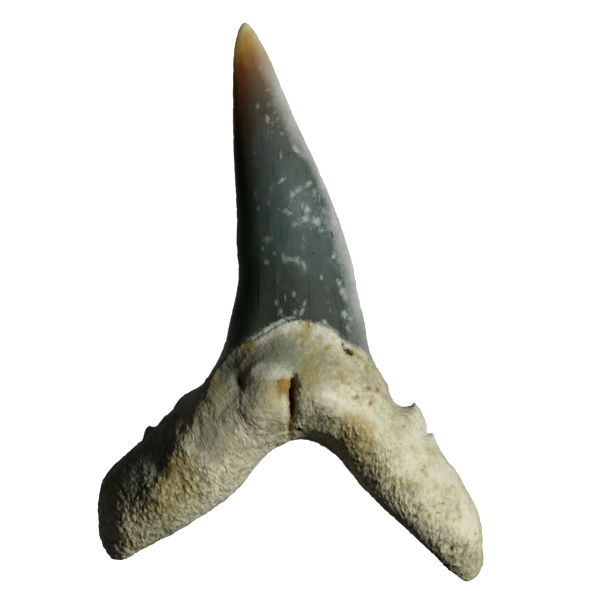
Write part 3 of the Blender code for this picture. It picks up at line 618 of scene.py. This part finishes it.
@dataclass(frozen=True)
class RootFinish:
    """Colours and dullness of the root."""

    cream: Colour = (0.530, 0.495, 0.340)
    khaki: Colour = (0.320, 0.306, 0.182)
    sand: Colour = (0.360, 0.318, 0.162)
    moss: Colour = (0.235, 0.235, 0.125)
    olive: Colour = (0.105, 0.085, 0.032)
    umber: Colour = (0.018, 0.015, 0.003)
    groove_side: Colour = (0.230, 0.155, 0.040)
    # the groove's dark floor is partly painted shade over its brown stain
    groove: Colour = (0.095, 0.062, 0.012)
    lichen: Colour = (0.250, 0.210, 0.030)
    slate: Colour = (0.220, 0.245, 0.165)
    chalk: Colour = (0.560, 0.550, 0.430)
    ochre: Colour = (0.310, 0.245, 0.072)
    rust: Colour = (0.235, 0.130, 0.008)
    roughness: float = 0.86
    worn_roughness: float = 0.5
    blotches: Sequence[Blotch] = (
        Blotch(1.0, 4.0, 0.48, 0.66, 0.6, sand),
        Blotch(1.3, 6.0, 0.54, 0.68, 0.4, slate),
        Blotch(0.7, 8.0, 0.52, 0.68, 0.6, moss),
        Blotch(0.45, 10.0, 0.52, 0.66, 0.4, chalk),
        Blotch(0.32, 11.0, 0.52, 0.68, 0.5, moss),
    )
    stains: Sequence[tuple[Mark, Colour, float]] = (  # with how much of each there is at most
        # The slate stain carries painted shade, and the chalk stain painted light, as well as real grey and
        # chalky patches.
        (Mark.SLATE, slate, 0.85),
        (Mark.CHALK, chalk, 0.8),
        (Mark.OCHRE, ochre, 0.75),
        (Mark.SEAM, lichen, 0.9),
        (Mark.RUST, rust, 0.95),
    )


class Graph:
    """Short ways to add nodes to a node tree and link them."""

    def __init__(self, tree: bpy.types.NodeTree) -> None:
        """Keeps the tree that nodes are added to."""
        self.tree = tree

    def add(self, kind: str, **settings: object) -> bpy.types.Node:
        """Adds a node, with its type's name given without ShaderNode, and sets its properties."""
        node = self.tree.nodes.new("ShaderNode" + kind)
        for name, value in settings.items():
            setattr(node, name, value)
        return node

    def feed(self, socket: Socket, source: object) -> None:
        """Links a socket to another one, or sets its value where the source is a value or a colour."""
        if isinstance(source, Socket):
            self.tree.links.new(source, socket)
        else:
            socket.default_value = (*source, 1.0) if isinstance(source, tuple) else source

    def fill(self, node: bpy.types.Node, sources: Mapping[str | int, object]) -> None:
        """Feeds several sockets of a node, each under its name or number."""
        for name, source in sources.items():
            self.feed(node.inputs[name], source)

    def millimetres(self, stretch: Sequence[float] = (1, 1, 1), lean: float = 0.0) -> Socket:
        """Object coordinates in millimetres, divided by a stretch along each axis.

        Args:
            stretch: Divisor along each axis.
            lean: How far the second axis leans to the left, in degrees.

        Returns:
            The coordinates.
        """
        turned, place = self.add("VectorRotate", rotation_type="Z_AXIS"), self.add("Mapping")
        self.fill(turned, {"Vector": self.add("TexCoord").outputs["Object"], "Angle": -math.radians(lean)})
        self.fill(place, {"Vector": turned.outputs["Vector"], "Scale": [1 / (MM * s) for s in stretch]})
        return place.outputs["Vector"]

    def axis(self, name: str) -> Socket:
        """One of the object coordinates, in millimetres."""
        split = self.add("SeparateXYZ")
        self.feed(split.inputs[0], self.millimetres())
        return split.outputs[name]

    def mark(self, mark: Mark) -> Socket:
        """The value of a mark on the mesh."""
        return self.add("Attribute", attribute_name=mark.value).outputs["Fac"]

    def noise(
        self, place: Socket, size: float = 1.0, detail: float = 3.0, seed: float = 0.0, twist: float = 0.0
    ) -> Socket:
        """Noise from 0 to 1.

        Args:
            place: Coordinates that the noise is read at.
            size: Size of its lumps in those coordinates.
            detail: How many finer layers are added up.
            seed: Which of many patterns is read.
            twist: How much the lumps are wound about.

        Returns:
            The noise's value.
        """
        node = self.add("TexNoise", noise_dimensions="4D")
        self.fill(node, {"Vector": place, "Scale": 1 / size, "Detail": detail})
        self.fill(node, {"W": seed, "Distortion": twist})
        return node.outputs["Fac"]

    def rise(
        self, value: Socket, low: float, high: float, top: float = 1.0, kind: str = "SMOOTHSTEP"
    ) -> Socket:
        """0 where the value is under low, top where it is over high, and a soft rise between."""
        node = self.add("MapRange", interpolation_type=kind)
        self.fill(node, {"Value": value, "From Min": low, "From Max": high, "To Max": top})
        return node.outputs["Result"]

    def around(self, value: Socket, reach: float) -> Socket:
        """Noise from 0 to 1 turned into a value around 0 with a given reach."""
        return self.times_plus(value, 2 * reach, -reach)

    def ramp(self, value: Socket, stops: Stops) -> Socket:
        """A colour that follows a row of stops.

        Args:
            value: Where the row is read.
            stops: Values in rising order and the colour at each.

        Returns:
            The colour at the value.
        """
        low, high = stops[0][0], stops[-1][0]
        node = self.add("ValToRGB")
        self.feed(node.inputs[0], self.rise(value, low, high, kind="LINEAR"))
        elements = node.color_ramp.elements
        while len(elements) < len(stops):
            elements.new(1.0)
        for element, (place, colour) in zip(elements, stops):
            element.position = (place - low) / (high - low)
            element.color = (*colour, 1.0)
        return node.outputs[0]

    def math(self, operation: str, *terms: object) -> Socket:
        """The result of a Math node on one to three terms."""
        node = self.add("Math", operation=operation)
        for socket, term in zip(node.inputs, terms):
            self.feed(socket, term)
        return node.outputs[0]

    # Math nodes under short names.
    plus = partialmethod(math, "ADD")
    minus = partialmethod(math, "SUBTRACT")
    times = partialmethod(math, "MULTIPLY")
    divided = partialmethod(math, "DIVIDE")
    times_plus = partialmethod(math, "MULTIPLY_ADD")  # the first two terms multiplied, plus the third
    unsigned = partialmethod(math, "ABSOLUTE")
    larger = partialmethod(math, "MAXIMUM")

    def mix(self, share: object, first: object, second: object) -> Socket:
        """A colour between two others, the second where the share is 1."""
        node = self.add("Mix", data_type="RGBA", clamp_factor=True)
        self.fill(node, {0: share, 6: first, 7: second})  # by number, because the names repeat
        return node.outputs[2]

    def layers(self, colour: Socket, *layers: tuple[Socket, object]) -> Socket:
        """A colour with others laid over it in turn, each given as its share and its colour."""
        for share, tint in layers:
            colour = self.mix(share, colour, tint)
        return colour

    def blend(self, share: object, first: object, second: object) -> Socket:
        """A number between two others, the second where the share is 1."""
        node = self.add("Mix", data_type="FLOAT", clamp_factor=True)
        self.fill(node, {0: share, 2: first, 3: second})
        return node.outputs[0]


@dataclass(frozen=True)
class Look:
    """What one part of the tooth gives the shader.

    Attributes:
        colour: Its colour.
        roughness: Its roughness.
        relief: Its fine relief.
    """

    colour: Socket
    roughness: Socket
    relief: Socket


class RootLook:
    """Nodes of the root's looks, from the stone's tones to the darkening in its pits, with painted light and
    shade among them.
    """

    def __init__(self, graph: Graph, finish: RootFinish) -> None:
        """Adds the noises that several layers share."""
        self.graph, self.finish = graph, finish
        g = graph
        self.place = g.millimetres()
        self.middle = g.noise(self.place, size=0.6, detail=5.0, seed=2.0)
        self.fine = g.noise(self.place, size=0.16, detail=4.0, seed=3.0)
        self.dust = g.noise(self.place, size=0.1, detail=2.0, seed=18.0)
        leaning = g.millimetres((0.26, 0.55, 0.45), WRINKLE_LEAN)
        leaning = g.noise(leaning, detail=2.0, seed=15.0, twist=0.8)
        upright = g.noise(g.millimetres((0.26, 0.4, 0.36)), detail=2.0, seed=16.0, twist=0.6)
        self.wrinkles = g.blend(g.rise(g.axis("X"), 0.5, -2.5), upright, leaning)

    def wrinkled(self) -> Socket:
        """How much the fine wrinkles show, in patches, away from the crown and off worn places."""
        g = self.graph
        patches = g.noise(self.place, size=1.3, detail=2.0, seed=17.0)
        patches = g.times_plus(g.rise(patches, 0.4, 0.58), 0.6, 0.4)
        off_crown = g.times_plus(g.rise(g.axis("Y"), -4.6, -7.4), 0.7, 0.3)
        worn = g.rise(g.mark(Mark.WORN), 0.15, 0.8, 0.75)
        return g.times(g.times(patches, off_crown), g.minus(1.0, worn))

    def stone(self) -> Socket:
        """The stone's tones: cream, khaki and soft blotches, where the cream mark is partly painted light on
        shaded places, and a mottled band by the crown.
        """
        g, look = self.graph, self.finish
        broad = g.noise(self.place, size=2.2, detail=4.0, seed=1.0)
        # the cream mark is partly painted light on shaded places
        tone = g.plus(g.mark(Mark.CREAM), g.plus(g.around(broad, 0.6), g.around(self.middle, 0.8)))
        colour = g.mix(g.rise(tone, 0.0, 1.0), look.khaki, look.cream)
        for blotch in look.blotches:
            shade = g.noise(self.place, size=blotch.size, detail=5.0, seed=blotch.seed)
            colour = g.mix(g.rise(shade, blotch.low, blotch.high, blotch.most), colour, blotch.colour)
        mottled = g.rise(g.noise(self.place, size=0.4, detail=3.0, seed=22.0), 0.4, 0.6)
        by_crown = g.rise(g.mark(Mark.ENAMEL), -0.9, -0.05, 0.65)
        return g.mix(by_crown, colour, g.mix(mottled, look.slate, look.chalk))

    def stained(self, colour: Socket) -> Socket:
        """A colour with the marked stains laid over it, with ragged edges; the slate and chalk marks also
        carry painted shade and painted light.
        """
        g = self.graph
        ragged = g.plus(g.around(self.middle, 0.8), g.around(self.fine, 0.9))
        for mark, stain, most in self.finish.stains:
            here = g.mark(mark)
            strength = g.rise(g.times_plus(ragged, 0.6, here), 0.12, 0.8, most)
            colour = g.mix(g.times(strength, g.rise(here, 0.04, 0.3)), colour, stain)
        return colour

    def grained(self, colour: Socket, wrinkled: Socket) -> Socket:
        """A colour that is darker in the grain's hollows and lighter on its ridges, as painted shade and
        painted highlight over the grain, with dust and dots.
        """
        g, look = self.graph, self.finish
        ridges = g.times(g.around(self.wrinkles, 0.9), wrinkled)
        grain = g.plus(g.mark(Mark.GRAIN), g.plus(g.around(self.fine, 0.35), ridges))
        return g.layers(
            colour,
            # painted shade in the grain's hollows and painted highlight on its ridges
            (g.rise(grain, -0.08, -0.8, 0.62), look.olive),
            (g.rise(grain, 0.08, 0.6, 0.5), look.cream),
            (g.rise(self.dust, 0.45, 0.25, 0.3), look.olive),
            (g.rise(self.dust, 0.55, 0.75, 0.35), look.chalk),
            (g.rise(g.noise(self.place, size=0.26, detail=1.0, seed=19.0), 0.66, 0.76, 0.6), look.ochre),
        )

    def darkened_in_hollows(self, colour: Socket) -> Socket:
        """A colour darkened in the cracks, the pits and the groove between the bosses; on the groove's floor
        the darkening is partly painted shade.
        """
        g, look = self.graph, self.finish
        pit = g.plus(g.mark(Mark.PIT), g.around(self.fine, 0.5))
        groove = g.plus(g.mark(Mark.GROOVE), g.around(self.fine, 0.3))
        return g.layers(
            colour,
            (g.times(g.rise(g.mark(Mark.CRACK), 0.08, 0.02, 0.6), g.mark(Mark.UP)), look.olive),
            (g.rise(pit, 0.1, 0.6, 0.97), look.umber),
            (g.rise(groove, 0.1, 0.5, 0.75), look.groove_side),
            # partly painted shade on the groove's floor
            (g.rise(groove, 0.4, 0.9, 0.85), look.groove),
        )

    def build(self) -> Look:
        """Adds every layer and gives the root's looks."""
        g, look = self.graph, self.finish
        wrinkled = self.wrinkled()
        colour = self.darkened_in_hollows(self.grained(self.stained(self.stone()), wrinkled))
        roughness = g.blend(g.rise(g.mark(Mark.WORN), 0.3, 0.9), look.roughness, look.worn_roughness)
        creases = g.times(g.times(self.wrinkles, wrinkled), 5.0)
        return Look(colour, roughness, g.plus(g.plus(self.fine, creases), g.times(self.dust, 0.5)))


class EnamelLook:
    """Nodes of the crown's looks, from its bands of colour to its flecks and cracks."""

    def __init__(self, graph: Graph, finish: EnamelFinish) -> None:
        """Adds the noises and places that several layers share."""
        self.graph, self.finish = graph, finish
        g = graph
        self.place = g.millimetres()
        self.x, self.height = g.axis("X"), g.axis("Y")
        self.streaks = g.noise(g.millimetres((0.35, 2.2, 0.6)), detail=4.0, seed=1.0)
        self.clouds = g.noise(g.millimetres((0.9, 1.5, 1.2)), detail=3.0, seed=2.0)
        self.fine = g.noise(self.place, size=0.18, detail=4.0, seed=3.0)
        side = g.plus(g.mark(Mark.SIDE), g.around(self.clouds, 0.2))
        self.side = g.times_plus(g.rise(self.height, 9.0, 12.0), -0.12, side)
        brown = g.mark(Mark.BROWN)
        self.brown = g.times_plus(g.around(self.fine, 0.4), g.rise(brown, 0.1, 0.5), brown)
        # The crown's lower right is made rougher and darker: the darkening is painted shade that dims the
        # broad highlight of the key.
        lower_right_rough_and_painted_shade = g.times(g.rise(self.side, 0.42, 0.58), g.rise(self.side, 0.88, 0.74))
        self.lower_right_rough_and_painted_shade = g.times(lower_right_rough_and_painted_shade, g.rise(self.height, 5.0, 3.4))

    def blade(self) -> Socket:
        """The bands of colour from foot to tip and from edge to edge, with patches and streaks, painted light
        on the left band and painted shade on the lower right.
        """
        g, look, side, height = self.graph, self.finish, self.side, self.height
        along = g.plus(height, g.around(self.clouds, 1.0))
        patches = g.noise(g.millimetres((0.8, 1.0, 0.8)), detail=2.0, seed=7.0)
        on_blade = g.times(g.rise(height, 10.5, 7.5), g.rise(height, -1.0, 2.0))
        off_left = g.times(on_blade, g.rise(side, 0.1, 0.4))
        return g.layers(
            g.ramp(along, look.left),
            (g.rise(side, 0.12, 0.4), g.ramp(along, look.middle)),
            (g.rise(side, 0.5, 0.85), g.ramp(along, look.right)),
            (g.times(g.rise(g.mark(Mark.SIDE), 0.2, 0.0, 0.6), g.rise(height, 8.5, 11.5)), look.amber),
            (g.times(g.rise(patches, 0.5, 0.34, 0.6), off_left), look.green),
            (g.times(g.rise(patches, 0.5, 0.66, 0.55), off_left), look.teal),
            (g.times(g.rise(self.streaks, 0.5, 0.3, 0.5), on_blade), look.dark),
            (g.rise(self.brown, 0.1, 0.9, 0.75), look.brown),
            # painted shade on the crown's lower right
            (g.times(self.lower_right_rough_and_painted_shade, 0.12), look.dark),
        )

    def edged(self, colour: Socket) -> Socket:
        """A colour with the pale right edge, partly painted light, and the thin left rim of painted light
        laid over it.
        """
        g, look, height = self.graph, self.finish, self.height
        dark_patch = g.times(g.rise(height, 4.4, 5.6), g.rise(height, 8.4, 7.6))
        from_right = g.times(g.mark(Mark.EDGE), g.times_plus(dark_patch, 0.9, 1.0))
        from_right = g.times_plus(g.rise(height, 3.0, -1.5), -0.1, from_right)
        from_right = g.plus(from_right, g.plus(g.around(self.fine, 0.25), g.around(self.clouds, 0.45)))
        # the pale right edge band is partly painted light
        edge = g.times(g.rise(from_right, 0.9, -0.25, kind="LINEAR"), g.rise(height, 15.5, 11.5))
        edge = g.times(edge, g.times_plus(g.rise(height, -2.0, 1.0), 0.45, 0.55))
        from_left = g.times(g.mark(Mark.EDGE), g.mark(Mark.SIDE))
        from_left = g.divided(from_left, g.minus(1.001, g.mark(Mark.SIDE)))
        # painted light along the crown's shaded left rim
        left_rim_painted_light = g.mix(g.rise(height, 6.0, 10.5), look.grey_painted_rim_light, look.warm_painted_rim_light)
        return g.layers(
            colour,
            (g.times(edge, g.mark(Mark.UP)), look.edge),
            (g.rise(from_left, 0.2, 0.0, 0.6), left_rim_painted_light),
        )

    def flecks(self) -> tuple[Socket, Socket]:
        """How much of each place the pale flecks cover, and their colour."""
        g, look = self.graph, self.finish
        speckle = g.noise(g.millimetres((1.0, 1.6, 1.0)), size=0.13, detail=2.0, seed=12.0)
        in_haze = g.times(g.rise(speckle, 0.56, 0.7, 0.7), g.rise(g.mark(Mark.HAZE), 0.05, 0.9))
        broken = g.plus(g.around(self.fine, 0.5), g.around(speckle, 0.5))
        fleck = g.times_plus(broken, g.rise(g.mark(Mark.FLECK), 0.02, 0.4), g.mark(Mark.FLECK))
        pale = g.times(g.rise(fleck, 0.6, 1.2), g.rise(self.side, 0.4, 0.7, 0.7))
        colour = g.mix(g.rise(self.height, 8.0, 11.5), look.fleck, look.warm_fleck)
        cover = g.larger(g.rise(fleck, 0.12, 0.9, 0.85), in_haze)
        return cover, g.mix(pale, colour, look.pale_fleck)

    def cracks(self) -> Socket:
        """How dark each place is with a crack or a dark point."""
        g = self.graph
        beside = g.unsigned(g.plus(g.mark(Mark.CRACK_SIDE), g.around(self.fine, 0.09)))
        crack = g.times(g.rise(beside, 0.05, 0.01, 0.8), g.rise(g.mark(Mark.CRACK), 0.12, 0.08))
        points = g.rise(g.mark(Mark.DARK_POINT), 0.25, 0.8, 0.85)
        return g.larger(g.times(crack, g.mark(Mark.UP)), points)

    def foot_rim_and_highlight(self) -> Socket:
        """How much of each place the pale, broken rim at the enamel's foot covers: partly its own pale colour
        and partly painted highlight on its broken edge.
        """
        g = self.graph
        strokes = g.noise(g.millimetres((0.16, 0.5, 0.3), WRINKLE_LEAN), detail=2.0, seed=21.0)
        near = g.plus(g.plus(g.around(self.fine, 0.2), g.around(strokes, 0.35)), g.mark(Mark.ENAMEL))
        rim = g.times(g.rise(near, 0.38, 0.14), g.rise(self.x, 0.4, -0.3))
        rim = g.times(g.times(rim, g.rise(self.x, -3.0, -2.0)), g.mark(Mark.UP))
        return g.times(rim, g.rise(strokes, 0.3, 0.6, 0.9))

    def build(self) -> Look:
        """Adds every layer and gives the crown's looks."""
        g, look = self.graph, self.finish
        cover, fleck_colour = self.flecks()
        crack = self.cracks()
        broken = g.rise(g.noise(self.place, size=0.2, detail=2.0, seed=14.0), 0.42, 0.6)
        colour = g.layers(
            self.edged(self.blade()),
            (cover, fleck_colour),
            (g.times(g.mark(Mark.SEAM), broken), look.streak),
            (crack, look.crack),
            # the foot rim is partly painted highlight
            (self.foot_rim_and_highlight(), look.foot),
        )
        dull = g.larger(g.rise(self.brown, 0.1, 0.9), self.lower_right_rough_and_painted_shade)
        roughness = g.blend(dull, g.blend(cover, look.roughness, look.fleck_roughness), look.brown_roughness)
        relief = g.plus(g.times(self.streaks, 0.3), g.times(self.fine, 0.25))
        return Look(colour, roughness, g.minus(relief, g.times(crack, 0.5)))


@dataclass
class FossilMaterial:
    """The one material of the tooth: enamel on the crown, and porous root below its end.

    Attributes:
        enamel: Colours and gloss of the crown.
        root: Colours and dullness of the root.
    """

    enamel: EnamelFinish
    root: RootFinish
    border_wander: float = 0.22  # how far the enamel's end strays
    border_blur: float = 0.07
    soft_right: Range = (0.3, 1.8)  # X between which the enamel's end gets softer
    softness: float = 0.65
    relief_depth: float = 0.045
    relief_strength: float = 0.9
    enamel_relief: float = 0.35  # its share of the root's
    gloss: float = 0.35
    thin: Range = (5.0, 11.0)  # Y between which the crown gets thin enough for light
    most_glow: float = 0.9
    glow: Colour = (1.0, 0.75, 0.45)  # how far red, green and blue go into the tip

    def build(self) -> bpy.types.Material:
        """Joins the two looks where the enamel ends and feeds the shader.

        Returns:
            The finished material.
        """
        material = bpy.data.materials.new("fossil enamel and root")
        material.use_nodes = True
        g, shader = Graph(material.node_tree), material.node_tree.nodes["Principled BSDF"]
        root, enamel = RootLook(g, self.root).build(), EnamelLook(g, self.enamel).build()
        wander = g.around(g.noise(g.millimetres(), size=0.25, detail=5.0, seed=9.0), self.border_wander)
        border = g.plus(g.mark(Mark.ENAMEL), wander)
        border = g.times(border, g.times_plus(g.rise(g.axis("X"), *self.soft_right), -self.softness, 1.0))
        on_enamel = g.rise(border, -self.border_blur, self.border_blur)
        bump = g.add("Bump")
        relief = g.blend(on_enamel, root.relief, g.times(enamel.relief, self.enamel_relief))
        g.fill(bump, {"Height": relief, "Distance": self.relief_depth * MM, "Strength": self.relief_strength})
        looks = {
            "Base Color": g.mix(on_enamel, root.colour, enamel.colour),
            "Roughness": g.blend(on_enamel, root.roughness, enamel.roughness),
            "Subsurface Weight": g.rise(g.axis("Y"), *self.thin, self.most_glow),
            "Subsurface Radius": list(self.glow),
            "Subsurface Scale": self.enamel.depth * MM,
            "Specular IOR Level": self.gloss,
            "Normal": bump.outputs["Normal"],
        }
        g.fill(shader, looks)
        return material


@dataclass
class Tooth:
    """The whole tooth, made from the frame's solid.

    Attributes:
        crown: The enamel crown.
        root: The root.
        material: The finish of both.
    """

    crown: Crown
    root: Root
    material: FossilMaterial
    subdivisions: int = 2
    same_place: float = 0.001  # vertices nearer than this are joined
    root_relief: Range = (0.05, -0.25)  # past the enamel's end, to where the root's relief is full
    sharp_over: float = math.radians(60.0)
    creased_above: float = -2.0  # the crown's cutting edges stay sharp above this Y
    stubs: Points = ((-8.0, -7.05), (8.15, -7.45), (7.12, -5.7), (7.78, -7.5))
    stub_reach: float = 0.7

    def copied_solid(self) -> bpy.types.Object:
        """Copies the frame's solid and joins its loose triangles.

        Returns:
            The copy, which is the only selected object.
        """
        bpy.ops.object.select_all(action="DESELECT")
        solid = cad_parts[NODE]
        piece = bpy.data.objects.new("fossil_tooth", solid.data.copy())
        bpy.context.scene.collection.objects.link(piece)
        bpy.context.view_layer.objects.active = piece
        piece.select_set(True)
        bpy.ops.object.mode_set(mode="EDIT")
        bpy.ops.mesh.select_all(action="SELECT")
        bpy.ops.mesh.remove_doubles(threshold=self.same_place * MM)
        bpy.ops.mesh.customdata_custom_splitnormals_clear()
        bpy.ops.object.mode_set(mode="OBJECT")
        return piece

    def crease_cutting_edges(self, mesh: bpy.types.Mesh) -> None:
        """Marks the cutting edges and the stubs' tips, so that they stay sharp when made finer."""
        faces_up: dict[tuple[int, int], list[bool]] = {}
        for polygon in mesh.polygons:
            for key in polygon.edge_keys:
                faces_up.setdefault(key, []).append(polygon.normal.z > 0)
        at = [vertex.co / MM for vertex in mesh.vertices]
        near_stub = [min(math.dist(place[:2], stub) for stub in self.stubs) for place in at]
        crease = mesh.attributes.new("crease_edge", "FLOAT", "EDGE")
        for edge in mesh.edges:
            a, b = edge.vertices
            on_blade = min(at[a].y, at[b].y) > self.creased_above
            on_stub = max(near_stub[a], near_stub[b]) < self.stub_reach
            if (on_blade or on_stub) and len(set(faces_up[edge.key])) == 2:
                crease.data[edge.index].value = 1.0
        pointed = mesh.attributes.new("crease_vert", "FLOAT", "POINT")
        for stub in self.stubs:
            nearest = min(range(len(at)), key=lambda number: math.dist(at[number][:2], stub))
            pointed.data[nearest].value = 1.0

    def make_finer(self, piece: bpy.types.Object) -> None:
        """Rounds the facets with subdivision surfaces, which are then applied."""
        finer = piece.modifiers.new("finer", "SUBSURF")
        finer.levels = finer.render_levels = self.subdivisions
        finer.boundary_smooth = "ALL"
        bpy.ops.object.modifier_apply(modifier=finer.name)

    def wear_and_mark(self, piece: bpy.types.Object) -> None:
        """Shapes the fine relief and writes the marks that the material reads."""
        skin = Surface(piece.data)
        crown, root = self.crown, self.root
        past_end = crown.past_end(skin)
        on_root = smoothstep(*self.root_relief, past_end)
        root_height, grain = root.relief(skin)
        from_edge, side = crown.across(skin)
        from_crack = crown.from_crack(skin)
        for mark, value in (
            (Mark.ENAMEL, past_end),
            (Mark.EDGE, from_edge),
            (Mark.SIDE, side),
            (Mark.UP, skin.facing_up()),
            (Mark.GRAIN, grain),
            (Mark.PIT, skin.marked(root.pits) * on_root),
            (Mark.GROOVE, root.in_groove(skin)),
            (Mark.CRACK, np.abs(from_crack)),
            (Mark.CRACK_SIDE, from_crack),
            (Mark.FLECK, skin.marked(crown.flecks)),
            (Mark.HAZE, skin.marked(crown.haze)),
            (Mark.SEAM, skin.marked(crown.seams)),
            (Mark.BROWN, skin.marked(crown.brown)),
            (Mark.DARK_POINT, skin.marked(crown.dark_points)),
            (Mark.WORN, skin.marked(root.smooth_places)),
            (Mark.CREAM, skin.marked(root.cream)),
            (Mark.RUST, skin.marked(root.rust)),
            (Mark.OCHRE, skin.marked(root.ochre)),
            (Mark.SLATE, skin.marked(root.slate)),
            (Mark.CHALK, skin.marked(root.chalk)),
        ):
            skin.keep(mark, value)
        skin.push_out(on_root * root_height + crown.relief(skin, past_end))

    def build(self) -> bpy.types.Object:
        """Makes the tooth, dresses it and puts it in the place of the frame's solid.

        Returns:
            The finished piece.
        """
        piece = self.copied_solid()
        self.crease_cutting_edges(piece.data)
        self.make_finer(piece)
        self.wear_and_mark(piece)
        piece.data.materials.clear()
        piece.data.materials.append(self.material.build())
        bpy.ops.object.shade_smooth_by_angle(angle=self.sharp_over)
        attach(piece, "root")
        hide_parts(NODE)
        triangles = sum(len(polygon.vertices) - 2 for polygon in piece.data.polygons)
        log.info("%s: %d triangles", piece.name, triangles)
        return piece


@dataclass
class Floor:
    """The plain pale surface that the tooth lies on."""

    half_width: float = 1500.0
    gap: float = 0.02  # left under the tooth, so that two faces never share a plane
    colour: Colour = (0.86, 0.86, 0.85)
    roughness: float = 0.9
    gloss: float = 0.1

    def build(self) -> bpy.types.Object:
        """Makes the floor.

        Returns:
            The floor's object.
        """
        bpy.ops.object.select_all(action="DESELECT")
        bpy.ops.mesh.primitive_plane_add(size=2 * self.half_width * MM, location=(0, 0, -self.gap * MM))
        floor = bpy.context.object
        floor.name = "floor"
        paper = bpy.data.materials.new("pale paper")
        paper.use_nodes = True
        looks = {"Base Color": self.colour, "Roughness": self.roughness, "Specular IOR Level": self.gloss}
        Graph(paper.node_tree).fill(paper.node_tree.nodes["Principled BSDF"], looks)
        floor.data.materials.append(paper)
        floor.visible_diffuse = floor.visible_glossy = False
        log.info("%s: %.0f mm wide", floor.name, 2 * self.half_width)
        return floor


@dataclass
class Studio:
    """Lights and camera: a strong low key from the right and little else."""

    image_side: int = 591
    millimetres_per_pixel: float = 32.0 / 560.0
    zero_pixel: tuple[float, float] = (290.5, 301.0)  # where the origin lies in the image
    sensor_width: float = 36.0
    camera_height: float = 300.0
    clip_start: float = 0.001  # in metres
    key_elevation: float = 46.0
    key_azimuth: float = 6.0
    key_distance: float = 260.0
    key_side: float = 50.0
    key_watts: float = 0.83
    overhead_height: float = 700.0
    overhead_side: float = 900.0
    overhead_watts: float = 22.0
    bounce_height: float = -250.0
    bounce_side: float = 400.0
    bounce_watts: float = 0.2
    ambient: float = 0.031
    ambient_colour: Colour = (0.92, 1.0, 0.86)

    def add_area(self, name: str, place: Vector, side: float, watts: float) -> bpy.types.Object:
        """Adds a square light that faces the tooth.

        Args:
            name: Name of the light.
            place: Where it hangs, in millimetres.
            side: Length of its side.
            watts: Its power.

        Returns:
            The light's object.
        """
        lamp = bpy.data.lights.new(name, "AREA")
        lamp.size = side * MM
        lamp.energy = watts
        light = bpy.data.objects.new(name, lamp)
        light.location = place * MM
        light.rotation_euler = (-place).to_track_quat("-Z", "Y").to_euler()
        bpy.context.scene.collection.objects.link(light)
        return light

    def add_list(self, name: str, member: bpy.types.Object) -> bpy.types.Collection:
        """Makes a list of one object for a light to be linked to."""
        members = bpy.data.collections.new(name)
        members.objects.link(member)
        return members

    def light_up(self, tooth: bpy.types.Object, floor: bpy.types.Object) -> None:
        """Adds the lights. The key lights the tooth alone, and a soft one overhead the floor.

        Args:
            tooth: The piece that the key lights.
            floor: The surface that the overhead light lights.
        """
        elevation, azimuth = math.radians(self.key_elevation), math.radians(self.key_azimuth)
        flat = math.cos(elevation)
        towards = Vector((flat * math.cos(azimuth), flat * math.sin(azimuth), math.sin(elevation)))
        over, under = Vector((0, 0, self.overhead_height)), Vector((0, 0, self.bounce_height))
        key = self.add_area("key", towards * self.key_distance, self.key_side, self.key_watts)
        overhead = self.add_area("overhead", over, self.overhead_side, self.overhead_watts)
        bounce = self.add_area("bounce", under, self.bounce_side, self.bounce_watts)
        only_tooth = self.add_list("only the tooth", tooth)
        only_floor = self.add_list("only the floor", floor)
        key.light_linking.receiver_collection = only_tooth
        overhead.light_linking.receiver_collection = only_floor
        bounce.light_linking.receiver_collection = only_tooth
        bounce.light_linking.blocker_collection = only_tooth
        world = bpy.data.worlds.new("dim room")
        world.use_nodes = True
        light = {"Color": self.ambient_colour, "Strength": self.ambient}
        Graph(world.node_tree).fill(world.node_tree.nodes["Background"], light)
        bpy.context.scene.world = world

    def add_camera(self) -> None:
        """Adds a long-lens camera that looks straight down."""
        middle = self.image_side / 2
        x = (middle - self.zero_pixel[0]) * self.millimetres_per_pixel
        y = (self.zero_pixel[1] - middle) * self.millimetres_per_pixel
        width = self.image_side * self.millimetres_per_pixel
        lens = bpy.data.cameras.new("camera")
        lens.sensor_width = self.sensor_width
        lens.lens = self.sensor_width * self.camera_height / width
        lens.clip_start = self.clip_start
        camera = bpy.data.objects.new("camera", lens)
        camera.location = Vector((x, y, self.camera_height)) * MM
        bpy.context.scene.collection.objects.link(camera)
        bpy.context.scene.camera = camera
        bpy.context.scene.view_settings.view_transform = "Standard"


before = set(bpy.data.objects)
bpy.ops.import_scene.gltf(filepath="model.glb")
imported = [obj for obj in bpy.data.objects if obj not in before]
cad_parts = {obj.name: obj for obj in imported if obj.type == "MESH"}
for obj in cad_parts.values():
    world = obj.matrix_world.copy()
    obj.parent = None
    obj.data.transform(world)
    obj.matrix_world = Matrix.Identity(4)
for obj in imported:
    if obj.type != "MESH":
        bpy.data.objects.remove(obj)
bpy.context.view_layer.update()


def main() -> None:
    """Builds the tooth, the floor and the studio."""
    logging.basicConfig(level=logging.INFO, format="%(message)s")
    tooth = Tooth(Crown(), Root(), FossilMaterial(EnamelFinish(), RootFinish())).build()
    floor = Floor().build()
    studio = Studio()
    studio.light_up(tooth, floor)
    studio.add_camera()


if __name__ == "__main__":
    main()
